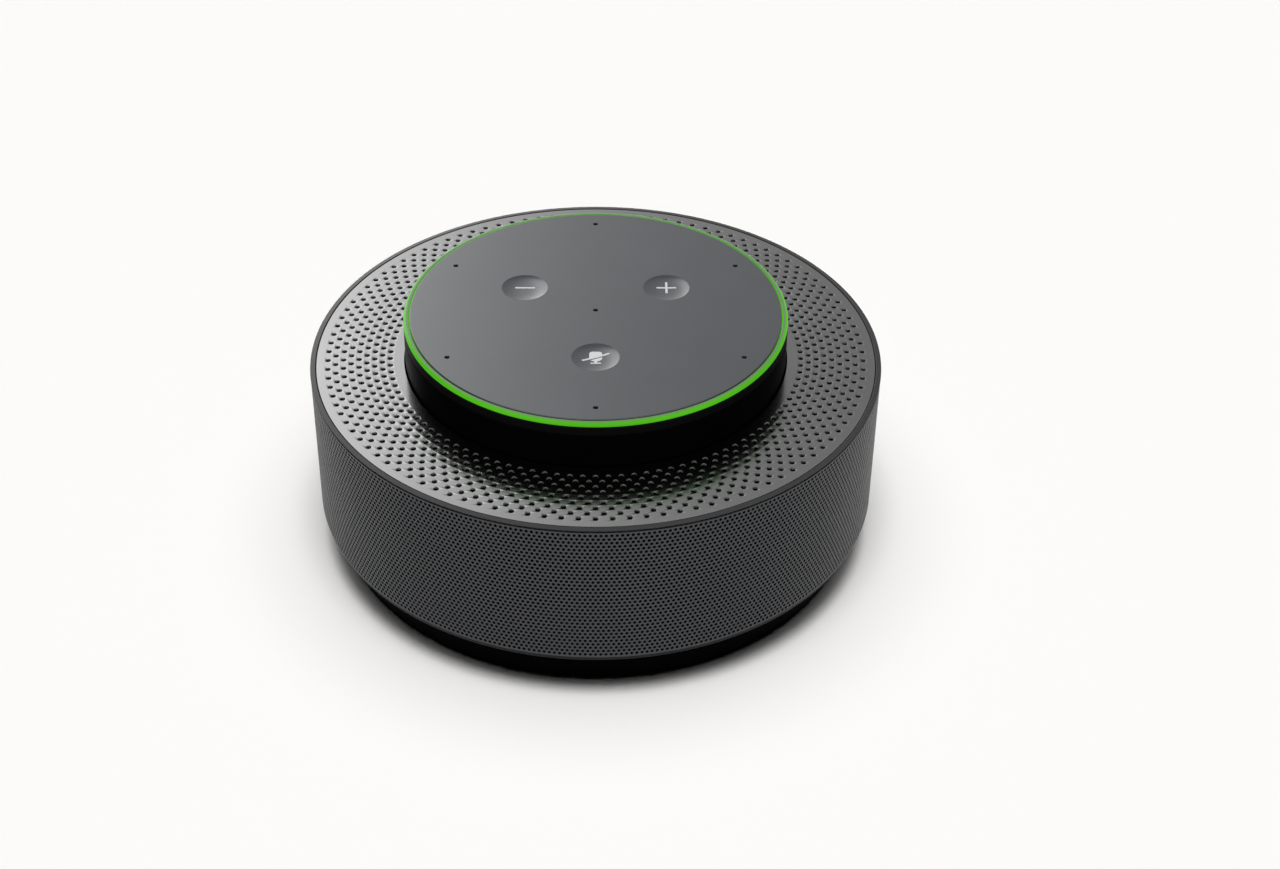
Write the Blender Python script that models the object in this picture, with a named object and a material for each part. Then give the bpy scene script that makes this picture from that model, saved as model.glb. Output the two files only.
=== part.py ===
"""Round USB conference speakerphone, built as an assembly of separate parts.

Metres, +Z up. The origin is on the desk under the middle of the unit.
The microphone-mute key and the front of the unit face -Y, the USB-C inlet faces +Y.
"""

import math

import bmesh
import bpy
from mathutils import Matrix, Vector

MM = 0.001
GAP = 0.3 * MM              # clearance kept between neighbouring solids

# Segments in one turn: outer rings, inner rings, small turned parts, screws and pins.
BIG, MEDIUM, SMALL, TINY = 60, 32, 16, 8

# Driving dimensions of the outside.
HEIGHT = 65.2 * MM          # desk to the top disc
RIM_R = 73.6 * MM           # widest radius, at the rim ring
DECK_Z = 52.3 * MM          # top of the perforated deck
POD_R = 49.1 * MM           # raised microphone pod
DISC_R = 47.5 * MM
BASE_R = 68.0 * MM          # bottom edge of the tapered base cover
BASE_TOP_R = 72.7 * MM
BASE_Z = 1.0 * MM
BASE_TOP_Z = 11.2 * MM

# Grilles and the ring that frames the deck.
GRILLE_R = 73.5 * MM
GRILLE_T = 0.5 * MM
GRILLE_LOW = 12.8 * MM
GRILLE_HIGH = 51.6 * MM
DECK_T = 0.8 * MM
DECK_OUTER_R = 71.95 * MM
CLOTH_T = 0.25 * MM
RIM_INNER_R = 72.2 * MM
RIM_LEG_R = 72.8 * MM
RIM_RISE = 0.13 * MM        # rim ring above the deck
RIM_LIP = 0.2 * MM          # rim ring's lip below the deck's top

# Microphone pod.
DISC_T = 1.8 * MM
MIC_R = 42.5 * MM           # circle of the six outer microphones
MIC_ANGLES = (30, 90, 150, 210, 270, 330)
KEY_R = 5.95 * MM
KEY_CIRCLE_R = 21.2 * MM
KEY_OPENING_R = 6.15 * MM
KEY_FLANGE_R = 6.9 * MM
KEY_DISH = 0.5 * MM
KEY_ANGLES = {"volume_up": 30, "volume_down": 150, "mic_mute": 270}
RING_INNER_R = 47.8 * MM
RING_T = 1.0 * MM
BEZEL_LOW = 61.5 * MM
POD_WALL_R = 47.4 * MM      # inside of the pod housing
POD_LOW = 50.3 * MM
POD_FLOOR = 51.9 * MM
BOARD_LOW = 58.6 * MM
BOARD_TOP = 59.6 * MM
POD_SCREW_R = 33.0 * MM
POD_SCREW_ANGLES = (60, 180, 300)
LED_ANGLES = (0, 60, 120, 180, 240, 300)

# Cage behind the grilles.
CAGE_R = 71.9 * MM
CAGE_INNER_R = 69.5 * MM
CAGE_LOW = 12.9 * MM
CAGE_PLATE_LOW = 48.4 * MM
CAGE_PLATE_TOP = 50.0 * MM
CAGE_TOP = 50.7 * MM
RIB_ANGLES = tuple(22.5 + 45 * step for step in range(8))

# Speaker box and loudspeaker.
BOX_R = 66.5 * MM
BOX_LOW = 14.7 * MM
BOX_TOP = 37.3 * MM
BAFFLE_LOW = 37.6 * MM
BAFFLE_TOP = 39.6 * MM
DRIVER_SCREW_R = 38.5 * MM
DRIVER_SCREW_ANGLES = (90, 210, 330)
FLANGE_LOW = BAFFLE_TOP + GAP
FLANGE_TOP = 41.1 * MM
CONE_R = 26.0 * MM
COIL_R = 11.2 * MM

# Base: board, socket, screws and the pocket that the plug enters.
MAIN_BOARD_R = 58.8 * MM
MAIN_BOARD_LOW = 3.9 * MM
MAIN_BOARD_TOP = 4.9 * MM
BASE_SCREW_R = 62.5 * MM
BASE_SCREW_ANGLES = (30, 150, 270)
SOCKET_W = 8.94 * MM
SOCKET_H = 3.2 * MM
SOCKET_DEPTH = 7.35 * MM
SOCKET_FRONT = 64.75 * MM
SOCKET_Z = 6.8 * MM
POCKET_HALF_W = 7.0 * MM
POCKET_LOW = 3.4 * MM
POCKET_HIGH = 10.2 * MM
POCKET_BACK = 65.2 * MM

# Ribbon cable between the two boards, in the upright plane at this angle.
RIBBON_ANGLE = 45
RIBBON_W = 8.0 * MM
RIBBON_T = 0.3 * MM
RIBBON_POD_R = 41.0 * MM
RIBBON_ROUTE = (
    (RIBBON_POD_R, 58.3 * MM),
    (RIBBON_POD_R, 47.6 * MM),
    (68.0 * MM, 47.6 * MM),
    (68.0 * MM, 10.4 * MM),
    (54.0 * MM, 10.4 * MM),
    (54.0 * MM, 5.2 * MM),
)

# name: (colour, roughness, metallic)
MATERIALS = {
    "satin_grey": ((0.13, 0.13, 0.135), 0.42, 0.0),
    "key_grey": ((0.11, 0.11, 0.115), 0.40, 0.0),
    "light_guide": ((0.30, 0.72, 0.20), 0.30, 0.0),
    "gloss_black": ((0.008, 0.008, 0.009), 0.12, 0.0),
    "deck_metal": ((0.50, 0.50, 0.51), 0.34, 1.0),
    "rim_grey": ((0.075, 0.076, 0.08), 0.38, 0.0),
    "mesh_grey": ((0.085, 0.087, 0.09), 0.45, 0.8),
    "base_black": ((0.012, 0.012, 0.013), 0.50, 0.0),
    "trim_grey": ((0.022, 0.022, 0.024), 0.45, 0.0),
    "foot_rubber": ((0.02, 0.02, 0.02), 0.85, 0.0),
    "grey_cloth": ((0.22, 0.22, 0.22), 0.95, 0.0),
    "black_cloth": ((0.01, 0.01, 0.01), 0.95, 0.0),
    "frame_black": ((0.025, 0.025, 0.027), 0.55, 0.0),
    "box_black": ((0.03, 0.03, 0.032), 0.50, 0.0),
    "silicone": ((0.16, 0.16, 0.17), 0.80, 0.0),
    "board_green": ((0.02, 0.16, 0.07), 0.45, 0.0),
    "chip_metal": ((0.75, 0.74, 0.70), 0.30, 1.0),
    "switch_black": ((0.03, 0.03, 0.03), 0.45, 0.0),
    "plunger_white": ((0.75, 0.75, 0.72), 0.40, 0.0),
    "led_white": ((0.85, 0.85, 0.70), 0.35, 0.0),
    "screw_steel": ((0.55, 0.55, 0.56), 0.30, 1.0),
    "basket_steel": ((0.05, 0.05, 0.055), 0.40, 1.0),
    "yoke_steel": ((0.50, 0.50, 0.48), 0.35, 1.0),
    "magnet_nickel": ((0.60, 0.60, 0.58), 0.22, 1.0),
    "paper_cone": ((0.03, 0.03, 0.03), 0.80, 0.0),
    "dust_cap_black": ((0.02, 0.02, 0.02), 0.40, 0.0),
    "surround_rubber": ((0.015, 0.015, 0.015), 0.70, 0.0),
    "spider_cloth": ((0.62, 0.42, 0.14), 0.90, 0.0),
    "coil_copper": ((0.80, 0.38, 0.20), 0.30, 1.0),
    "ribbon_orange": ((0.72, 0.33, 0.08), 0.40, 0.0),
}


# ---------------------------------------------------------------- helpers

def clear_scene():
    for item in list(bpy.data.objects):
        bpy.data.objects.remove(item, do_unlink=True)


def make_materials():
    made = {}
    for name, (colour, roughness, metallic) in MATERIALS.items():
        item = bpy.data.materials.new(name)
        item.use_nodes = True
        shader = item.node_tree.nodes["Principled BSDF"]
        shader.inputs["Base Color"].default_value = (*colour, 1.0)
        shader.inputs["Roughness"].default_value = roughness
        shader.inputs["Metallic"].default_value = metallic
        item.diffuse_color = (*colour, 1.0)
        made[name] = item
    return made


def polar(radius, degrees, height=0.0):
    angle = math.radians(degrees)
    return Vector((radius * math.cos(angle), radius * math.sin(angle), height))


def arc(centre_r, centre_z, radius, start, end, count):
    """Points (radius, height) along an arc, angles in degrees from +r."""
    points = []
    for step in range(count):
        angle = math.radians(start + (end - start) * step / (count - 1))
        points.append((centre_r + radius * math.cos(angle), centre_z + radius * math.sin(angle)))
    return points


def add_turned(shape, profile, segments, centre=(0.0, 0.0)):
    """Spin (radius, height) points a full turn about the upright axis through centre."""
    verts = [shape.verts.new((centre[0] + r, centre[1], z)) for r, z in profile]
    edges = [shape.edges.new(pair) for pair in zip(verts, verts[1:])]
    if profile[0][0] > 0.0 or profile[-1][0] > 0.0:
        edges.append(shape.edges.new((verts[-1], verts[0])))
    before = set(shape.verts) - set(verts)
    bmesh.ops.spin(shape, geom=verts + edges, cent=(centre[0], centre[1], 0.0), axis=(0, 0, 1),
                   angle=math.tau, steps=segments)
    spun = [vert for vert in shape.verts if vert not in before]
    bmesh.ops.remove_doubles(shape, verts=spun, dist=0.001 * MM)


def add_cylinder(shape, radius, low, high, centre=(0.0, 0.0), segments=TINY):
    profile = [(0.0, high), (radius, high), (radius, low), (0.0, low)]
    add_turned(shape, profile, segments, centre)


def add_ring(shape, inner, outer, low, high, segments):
    add_turned(shape, [(outer, high), (outer, low), (inner, low), (inner, high)], segments)


def add_box(shape, low, high, degrees=0.0):
    """A box between two corners, then turned about the world's upright axis."""
    low, high = Vector(low), Vector(high)
    turn = Matrix.Rotation(math.radians(degrees), 4, "Z")
    place = Matrix.Translation((low + high) / 2) @ Matrix.Diagonal((*(high - low), 1.0))
    bmesh.ops.create_cube(shape, size=1.0, matrix=turn @ place)


def add_extrusion(shape, outline, start, end, turn):
    """Extrude an outline of (x, z) points along Y from start to end, then apply turn."""
    verts = [shape.verts.new((x, start, z)) for x, z in outline]
    face = shape.faces.new(verts)
    pushed = bmesh.ops.extrude_face_region(shape, geom=[face])["geom"]
    moved = [item for item in pushed if isinstance(item, bmesh.types.BMVert)]
    bmesh.ops.translate(shape, verts=moved, vec=(0, end - start, 0))
    bmesh.ops.transform(shape, verts=verts + moved, matrix=turn)


def to_mesh(name, shape, origin):
    """Close a shape drawn in world places into a mesh whose zero is at origin."""
    bmesh.ops.translate(shape, verts=shape.verts, vec=-Vector(origin))
    bmesh.ops.recalc_face_normals(shape, faces=shape.faces)
    bmesh.ops.dissolve_limit(shape, angle_limit=math.radians(0.1), verts=shape.verts, edges=shape.edges)
    mesh = bpy.data.meshes.new(name)
    shape.to_mesh(mesh)
    shape.free()
    mesh.shade_smooth()
    mesh.set_sharp_from_angle(angle=math.radians(35))
    return mesh


class Assembly:
    """Places parts under their sub-assembly's empty, in world coordinates."""

    def __init__(self):
        self.materials = make_materials()
        self.groups = {}

    def group(self, name, height):
        empty = bpy.data.objects.new(name, None)
        empty.location = (0.0, 0.0, height)
        bpy.context.scene.collection.objects.link(empty)
        self.groups[name] = empty

    def place(self, name, mesh, group, origin, degrees=0.0):
        part = bpy.data.objects.new(name, mesh)
        bpy.context.scene.collection.objects.link(part)
        parent = self.groups[group]
        part.parent = parent
        part.location = Vector(origin) - parent.location
        part.rotation_euler = (0.0, 0.0, math.radians(degrees))
        return part

    def part(self, name, shape, group, finish, origin=(0.0, 0.0, 0.0)):
        mesh = to_mesh(name, shape, origin)
        mesh.materials.append(self.materials[finish])
        return self.place(name, mesh, group, origin)

    def turned(self, name, profile, segments, group, finish):
        shape = bmesh.new()
        add_turned(shape, profile, segments)
        base = min(height for _, height in profile)
        return self.part(name, shape, group, finish, (0.0, 0.0, base))


def guide(name, shape):
    """A shape that only cuts or joins others and isn't a part of the unit."""
    item = bpy.data.objects.new(name, to_mesh(name, shape, (0.0, 0.0, 0.0)))
    item.hide_render = True
    item.display_type = "WIRE"
    bpy.context.scene.collection.objects.link(item)
    return item


def combine(target, operation, other):
    modifier = target.modifiers.new(operation.lower(), "BOOLEAN")
    modifier.operation = operation
    modifier.solver = "EXACT"
    modifier.object = other


def screw_mesh(name, head_r, head_h, shank_r, length, finish):
    """A pan-head screw with its origin under the head, its shank pointing up."""
    shape = bmesh.new()
    profile = [(0.0, length), (shank_r, length), (shank_r, 0.0), (head_r, 0.0),
               (head_r, -0.6 * head_h), (0.7 * head_r, -head_h), (0.0, -head_h)]
    add_turned(shape, profile, TINY)
    mesh = to_mesh(name, shape, (0.0, 0.0, 0.0))
    mesh.materials.append(finish)
    return mesh


# ---------------------------------------------------------------- base

def base_cover(unit):
    """Tapered pan with a groove for the foot, screw bosses and the plug's pocket."""
    floor = 3.0 * MM
    wall = 2.0 * MM
    groove = (58.2 * MM, 66.8 * MM, 1.6 * MM)
    boss_r = 3.2 * MM
    boss_top = 12.8 * MM
    taper = (BASE_TOP_R - BASE_R) / (BASE_TOP_Z - BASE_Z)
    floor_r = BASE_R + taper * (floor - BASE_Z) - wall

    outside = [(0.0, BASE_TOP_Z), (BASE_TOP_R, BASE_TOP_Z), (BASE_R, BASE_Z), (groove[1], BASE_Z),
               (groove[1], groove[2]), (groove[0], groove[2]), (groove[0], BASE_Z), (0.0, BASE_Z)]
    cover = unit.turned("base_cover", outside, BIG, "base", "base_black")

    hollow = bmesh.new()
    over = 1.0 * MM
    rim_r = BASE_TOP_R - wall + taper * over
    add_turned(hollow, [(0.0, BASE_TOP_Z + over), (rim_r, BASE_TOP_Z + over), (floor_r, floor), (0.0, floor)], BIG)
    hollow = guide("base_hollow", hollow)

    pocket_wall = 1.2 * MM
    islands = bmesh.new()
    add_box(islands, (-POCKET_HALF_W - pocket_wall, POCKET_BACK - pocket_wall, 0.0),
            (POCKET_HALF_W + pocket_wall, RIM_R, POCKET_HIGH + 0.9 * MM))
    for angle in (90, 210, 330):
        add_cylinder(islands, 3.0 * MM, 0.0, MAIN_BOARD_LOW - GAP, polar(50.0 * MM, angle))
    combine(hollow, "DIFFERENCE", guide("base_islands", islands))
    combine(cover, "DIFFERENCE", hollow)

    bosses = bmesh.new()
    for angle in BASE_SCREW_ANGLES:
        add_cylinder(bosses, boss_r, 2.0 * MM, boss_top, polar(BASE_SCREW_R, angle))
    combine(cover, "UNION", guide("base_bosses", bosses))

    cuts = bmesh.new()
    head_r, head_z, shank_r = 2.5 * MM, 3.4 * MM, 1.3 * MM
    stepped = [(0.0, 20 * MM), (shank_r, 20 * MM), (shank_r, head_z), (head_r, head_z), (head_r, 0.0), (0.0, 0.0)]
    for angle in BASE_SCREW_ANGLES:
        add_turned(cuts, stepped, TINY, polar(BASE_SCREW_R, angle))
    add_box(cuts, (-POCKET_HALF_W, POCKET_BACK, POCKET_LOW), (POCKET_HALF_W, RIM_R, POCKET_HIGH))
    combine(cover, "DIFFERENCE", guide("base_cuts", cuts))

    mouth = bmesh.new()
    half_w, half_h = SOCKET_W / 2 + GAP, SOCKET_H / 2 + GAP
    add_box(mouth, (-half_w, POCKET_BACK - 3 * MM, SOCKET_Z - half_h), (half_w, POCKET_BACK + MM, SOCKET_Z + half_h))
    combine(cover, "DIFFERENCE", guide("socket_mouth", mouth))


def foot_ring(unit):
    low, high = 0.0, 1.3 * MM
    profile = [(66.5 * MM, high), (66.5 * MM, low), (58.5 * MM, low), (58.5 * MM, high)]
    unit.turned("foot_ring", profile, BIG, "base", "foot_rubber")


def base_trim_ring(unit):
    low, high = 11.5 * MM, 12.6 * MM
    profile = [(73.1 * MM, high), (73.1 * MM, low), (69.0 * MM, low), (69.0 * MM, high)]
    unit.turned("base_trim_ring", profile, BIG, "base", "trim_grey")


def main_board(unit):
    shape = bmesh.new()
    add_cylinder(shape, MAIN_BOARD_R, MAIN_BOARD_LOW, MAIN_BOARD_TOP, segments=MEDIUM)
    board = unit.part("main_board", shape, "base", "board_green", (0.0, 0.0, MAIN_BOARD_LOW))
    tab = bmesh.new()
    add_box(tab, (-9 * MM, 50 * MM, MAIN_BOARD_LOW), (9 * MM, 61.5 * MM, MAIN_BOARD_TOP))
    combine(board, "UNION", guide("board_tab", tab))


def slot_outline(width, height, centre_z, steps):
    """Outline (x, z) of a slot with half-round ends."""
    radius = height / 2
    reach = width / 2 - radius
    right = arc(reach, centre_z, radius, -90, 90, steps)
    left = arc(-reach, centre_z, radius, 90, 270, steps)
    return right + left


def usb_c_socket(unit):
    """Shell with half-round ends, open at the back of the unit, with its tongue."""
    wall = 0.3 * MM
    back = SOCKET_FRONT - SOCKET_DEPTH
    shape = bmesh.new()
    add_extrusion(shape, slot_outline(SOCKET_W, SOCKET_H, SOCKET_Z, 5), back, SOCKET_FRONT, Matrix())
    socket = unit.part("usb_c_socket", shape, "base", "chip_metal", (0.0, SOCKET_FRONT, SOCKET_Z))
    hollow = bmesh.new()
    inner = slot_outline(SOCKET_W - 2 * wall, SOCKET_H - 2 * wall, SOCKET_Z, 5)
    add_extrusion(hollow, inner, back + 1.1 * MM, SOCKET_FRONT + MM, Matrix())
    hollow = guide("socket_hollow", hollow)
    tongue = bmesh.new()
    add_box(tongue, (-3.35 * MM, back, SOCKET_Z - 0.35 * MM),
            (3.35 * MM, SOCKET_FRONT - 0.9 * MM, SOCKET_Z + 0.35 * MM))
    combine(hollow, "DIFFERENCE", guide("socket_tongue", tongue))
    combine(socket, "DIFFERENCE", hollow)


def base_screws(unit):
    under_head = 3.1 * MM
    mesh = screw_mesh("base_screw", 2.2 * MM, 1.2 * MM, 1.1 * MM, 17.9 * MM, unit.materials["screw_steel"])
    for number, angle in enumerate(BASE_SCREW_ANGLES, 1):
        unit.place(f"base_screw_{number}", mesh, "base", polar(BASE_SCREW_R, angle, under_head))


# ---------------------------------------------------------------- body shell

def side_grille(unit):
    inner = GRILLE_R - GRILLE_T
    profile = [(GRILLE_R, GRILLE_HIGH), (GRILLE_R, GRILLE_LOW), (inner, GRILLE_LOW), (inner, GRILLE_HIGH)]
    unit.turned("side_grille", profile, BIG, "body", "mesh_grey")


def side_cloth(unit):
    outer, inner = 72.7 * MM, 72.4 * MM
    low, high = CAGE_LOW, CAGE_TOP - 0.4 * MM
    profile = [(outer, high), (outer, low), (inner, low), (inner, high)]
    unit.turned("side_cloth", profile, BIG, "body", "black_cloth")


def rim_ring(unit):
    top = DECK_Z + RIM_RISE
    lip = DECK_Z - RIM_LIP
    leg_low = CAGE_TOP - 0.1 * MM
    profile = [(RIM_R, top), (RIM_R, lip), (RIM_LEG_R, lip), (RIM_LEG_R, leg_low),
               (RIM_INNER_R, leg_low), (RIM_INNER_R, top)]
    unit.turned("rim_ring", profile, BIG, "body", "rim_grey")


def deck_grille(unit):
    inner, low = POD_R + 0.4 * MM, DECK_Z - DECK_T
    profile = [(DECK_OUTER_R, DECK_Z), (DECK_OUTER_R, low), (inner, low), (inner, DECK_Z)]
    unit.turned("deck_grille", profile, BIG, "body", "deck_metal")


def deck_cloth(unit):
    inner, outer = POD_R + 0.5 * MM, 71.7 * MM
    low = CAGE_TOP + GAP
    profile = [(outer, low + CLOTH_T), (outer, low), (inner, low), (inner, low + CLOTH_T)]
    unit.turned("deck_cloth", profile, MEDIUM, "body", "grey_cloth")


def ribbon_slot(low, high):
    shape = bmesh.new()
    half = 1.2 * MM
    reach = RIBBON_W / 2 + 0.7 * MM
    add_box(shape, (RIBBON_POD_R - half, -reach, low), (RIBBON_POD_R + half, reach, high), RIBBON_ANGLE)
    return shape


def grille_cage(unit):
    """Rings, ribs and spokes behind the grilles, with a cone that spreads the sound."""
    plate_r = 52.5 * MM
    profile = [(0.0, 43.6 * MM), (21.5 * MM, CAGE_PLATE_TOP), (plate_r, CAGE_PLATE_TOP), (plate_r, CAGE_PLATE_LOW),
               (22.5 * MM, CAGE_PLATE_LOW), (3.0 * MM, 42.2 * MM), (0.0, 41.8 * MM)]
    cage = unit.turned("grille_cage", profile, MEDIUM, "body", "frame_black")

    rings = bmesh.new()
    add_ring(rings, CAGE_INNER_R, CAGE_R, CAGE_PLATE_LOW, CAGE_TOP, MEDIUM)
    add_ring(rings, CAGE_INNER_R, CAGE_R, CAGE_LOW, CAGE_LOW + 2 * MM, MEDIUM)
    combine(cage, "UNION", guide("cage_rings", rings))

    half = 2.0 * MM
    ribs = bmesh.new()
    for angle in RIB_ANGLES:
        add_box(ribs, (CAGE_INNER_R + 0.1 * MM, -half, CAGE_LOW + MM), (CAGE_R - 0.3 * MM, half, CAGE_TOP - MM), angle)
    combine(cage, "UNION", guide("cage_ribs", ribs))

    arms = bmesh.new()
    for angle in RIB_ANGLES:
        add_box(arms, (plate_r - MM, -half, CAGE_PLATE_LOW + 0.2 * MM),
                (CAGE_INNER_R + 0.6 * MM, half, CAGE_PLATE_TOP - 0.2 * MM), angle)
    for angle in BASE_SCREW_ANGLES:
        add_box(arms, (BASE_SCREW_R - 3.2 * MM, -3.5 * MM, 13.1 * MM), (CAGE_INNER_R + MM, 3.5 * MM, 14.4 * MM), angle)
    combine(cage, "UNION", guide("cage_arms", arms))

    cuts = ribbon_slot(CAGE_PLATE_LOW - MM, CAGE_PLATE_TOP + MM)
    for angle in POD_SCREW_ANGLES:
        add_cylinder(cuts, 1.3 * MM, 45 * MM, 55 * MM, polar(POD_SCREW_R, angle))
    for angle in BASE_SCREW_ANGLES:
        add_cylinder(cuts, 1.3 * MM, 12 * MM, 16 * MM, polar(BASE_SCREW_R, angle))
    combine(cage, "DIFFERENCE", guide("cage_cuts", cuts))


def ribbon_cable(unit):
    """Flat cable of constant thickness that follows RIBBON_ROUTE, with mitred bends."""
    route = [Vector(point) for point in RIBBON_ROUTE]
    left, right = [], []
    for index, point in enumerate(route):
        before = route[index] - route[index - 1] if index else route[1] - route[0]
        after = route[index + 1] - route[index] if index + 1 < len(route) else before
        normals = [Vector((-way.y, way.x)).normalized() for way in (before, after)]
        middle = (normals[0] + normals[1]).normalized()
        offset = middle * (RIBBON_T / 2 / middle.dot(normals[0]))
        left.append(tuple(point + offset))
        right.append(tuple(point - offset))
    shape = bmesh.new()
    turn = Matrix.Rotation(math.radians(RIBBON_ANGLE), 4, "Z")
    add_extrusion(shape, left + right[::-1], -RIBBON_W / 2, RIBBON_W / 2, turn)
    unit.part("ribbon_cable", shape, "body", "ribbon_orange", polar(RIBBON_ROUTE[2][0], RIBBON_ANGLE, 10 * MM))


# ---------------------------------------------------------------- loudspeaker

def speaker_box(unit):
    wall, floor = 2.0 * MM, 1.6 * MM
    inner = BOX_R - wall
    profile = [(0.0, BOX_LOW + floor), (inner, BOX_LOW + floor), (inner, BOX_TOP), (BOX_R, BOX_TOP),
               (BOX_R, BOX_LOW), (0.0, BOX_LOW)]
    box = unit.turned("speaker_box", profile, MEDIUM, "speaker", "box_black")
    bosses = bmesh.new()
    bores = bmesh.new()
    for angle in BASE_SCREW_ANGLES:
        centre = polar(BASE_SCREW_R, angle)
        add_cylinder(bosses, 3.2 * MM, BOX_LOW + MM, 24 * MM, centre)
        add_cylinder(bores, 1.3 * MM, BOX_LOW - MM, 22.5 * MM, centre)
    combine(box, "UNION", guide("box_bosses", bosses))
    combine(box, "DIFFERENCE", guide("box_bores", bores))


def baffle_plate(unit):
    hole_r = 33.0 * MM
    profile = [(BOX_R, BAFFLE_TOP), (BOX_R, BAFFLE_LOW), (hole_r, BAFFLE_LOW), (hole_r, BAFFLE_TOP)]
    baffle = unit.turned("baffle_plate", profile, MEDIUM, "speaker", "box_black")
    holes = bmesh.new()
    for angle in DRIVER_SCREW_ANGLES:
        add_cylinder(holes, 1.3 * MM, BAFFLE_LOW - MM, BAFFLE_TOP + MM, polar(DRIVER_SCREW_R, angle))
    combine(baffle, "DIFFERENCE", guide("baffle_holes", holes))


def driver_basket(unit):
    profile = [(42.0 * MM, FLANGE_TOP), (42.0 * MM, FLANGE_LOW), (32.4 * MM, FLANGE_LOW), (32.4 * MM, 38.0 * MM),
               (19.0 * MM, 26.0 * MM), (12.0 * MM, 26.0 * MM), (12.0 * MM, 27.2 * MM), (18.2 * MM, 27.2 * MM),
               (31.2 * MM, 38.8 * MM), (31.2 * MM, FLANGE_TOP)]
    basket = unit.turned("driver_basket", profile, MEDIUM, "speaker", "basket_steel")
    cuts = bmesh.new()
    for angle in DRIVER_SCREW_ANGLES:
        add_cylinder(cuts, 1.3 * MM, FLANGE_LOW - MM, FLANGE_TOP + MM, polar(DRIVER_SCREW_R, angle))
    for angle in (0, 90, 180, 270):
        add_box(cuts, (19.5 * MM, -8 * MM, 29.5 * MM), (34 * MM, 8 * MM, 37.5 * MM), angle)
    combine(basket, "DIFFERENCE", guide("basket_cuts", cuts))


def driver_motor(unit):
    """Steel pot, magnet and the pole cap above it."""
    low, top, wall_r, gap_r = 17.5 * MM, 25.7 * MM, 16.0 * MM, 11.7 * MM
    floor = low + 1.4 * MM
    pot = [(0.0, floor), (gap_r, floor), (gap_r, top), (wall_r, top), (wall_r, low), (0.0, low)]
    unit.turned("driver_pot", pot, SMALL, "speaker", "yoke_steel")
    magnet_r = 9.4 * MM
    magnet_low, magnet_top = floor + GAP, 22.9 * MM
    magnet = [(0.0, magnet_top), (magnet_r, magnet_top), (magnet_r, magnet_low), (0.0, magnet_low)]
    unit.turned("driver_magnet", magnet, SMALL, "speaker", "magnet_nickel")
    cap_r = 9.9 * MM
    cap_low = magnet_top + GAP
    cap = [(0.0, top), (cap_r, top), (cap_r, cap_low), (0.0, cap_low)]
    unit.turned("driver_pole_cap", cap, SMALL, "speaker", "yoke_steel")


def moving_cone(unit):
    """Voice coil, cone and dust cap, which travel together along the axis."""
    coil_in = 10.3 * MM
    coil = [(COIL_R, 31.0 * MM), (COIL_R, 21.3 * MM), (coil_in, 21.3 * MM), (coil_in, 31.0 * MM)]
    unit.turned("voice_coil", coil, SMALL, "cone", "coil_copper")
    cone = [(25.6 * MM, 39.9 * MM), (CONE_R, 39.3 * MM), (11.0 * MM, 31.3 * MM), (10.4 * MM, 31.8 * MM)]
    unit.turned("speaker_cone", cone, MEDIUM, "cone", "paper_cone")
    base_z, edge_r, rise, skin = 32.0 * MM, 10.0 * MM, 3.4 * MM, 0.4 * MM
    ball_r = (edge_r ** 2 + rise ** 2) / (2 * rise)
    start = math.degrees(math.asin((ball_r - rise) / ball_r))
    centre_z = base_z + rise - ball_r
    outer = arc(0.0, centre_z, ball_r, 90, start, 5)
    inner = arc(0.0, centre_z, ball_r - skin, start, 90, 5)
    outer[0] = (0.0, outer[0][1])
    inner[-1] = (0.0, inner[-1][1])
    unit.turned("dust_cap", outer + inner, SMALL, "cone", "dust_cap_black")


def suspension(unit):
    """Half-roll surround at the cone's edge and the corrugated spider at the coil."""
    roll_r, roll_z, radius, skin = 28.6 * MM, 39.9 * MM, 2.3 * MM, 0.45 * MM
    roll = arc(roll_r, roll_z, radius, 180, 0, 5) + arc(roll_r, roll_z, radius - skin, 0, 180, 5)
    unit.turned("cone_surround", roll, MEDIUM, "speaker", "surround_rubber")
    inner_r, outer_r, mean_z, swing, folds = COIL_R + GAP, 18.6 * MM, 28.6 * MM, 0.5 * MM, 4
    top, bottom = [], []
    for step in range(folds + 1):
        radius = inner_r + (outer_r - inner_r) * step / folds
        height = mean_z + (swing if step % 2 else 0.0)
        top.append((radius, height + 0.35 * MM))
        bottom.append((radius, height))
    unit.turned("coil_spider", top + bottom[::-1], SMALL, "speaker", "spider_cloth")


def driver_screws(unit):
    under_head = FLANGE_TOP + GAP
    mesh = screw_mesh("driver_screw", 2.1 * MM, 1.2 * MM, 1.1 * MM, 6.0 * MM, unit.materials["screw_steel"])
    for number, angle in enumerate(DRIVER_SCREW_ANGLES, 1):
        screw = unit.place(f"driver_screw_{number}", mesh, "speaker", polar(DRIVER_SCREW_R, angle, under_head))
        screw.rotation_euler.x = math.pi


# ---------------------------------------------------------------- microphone pod

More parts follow.
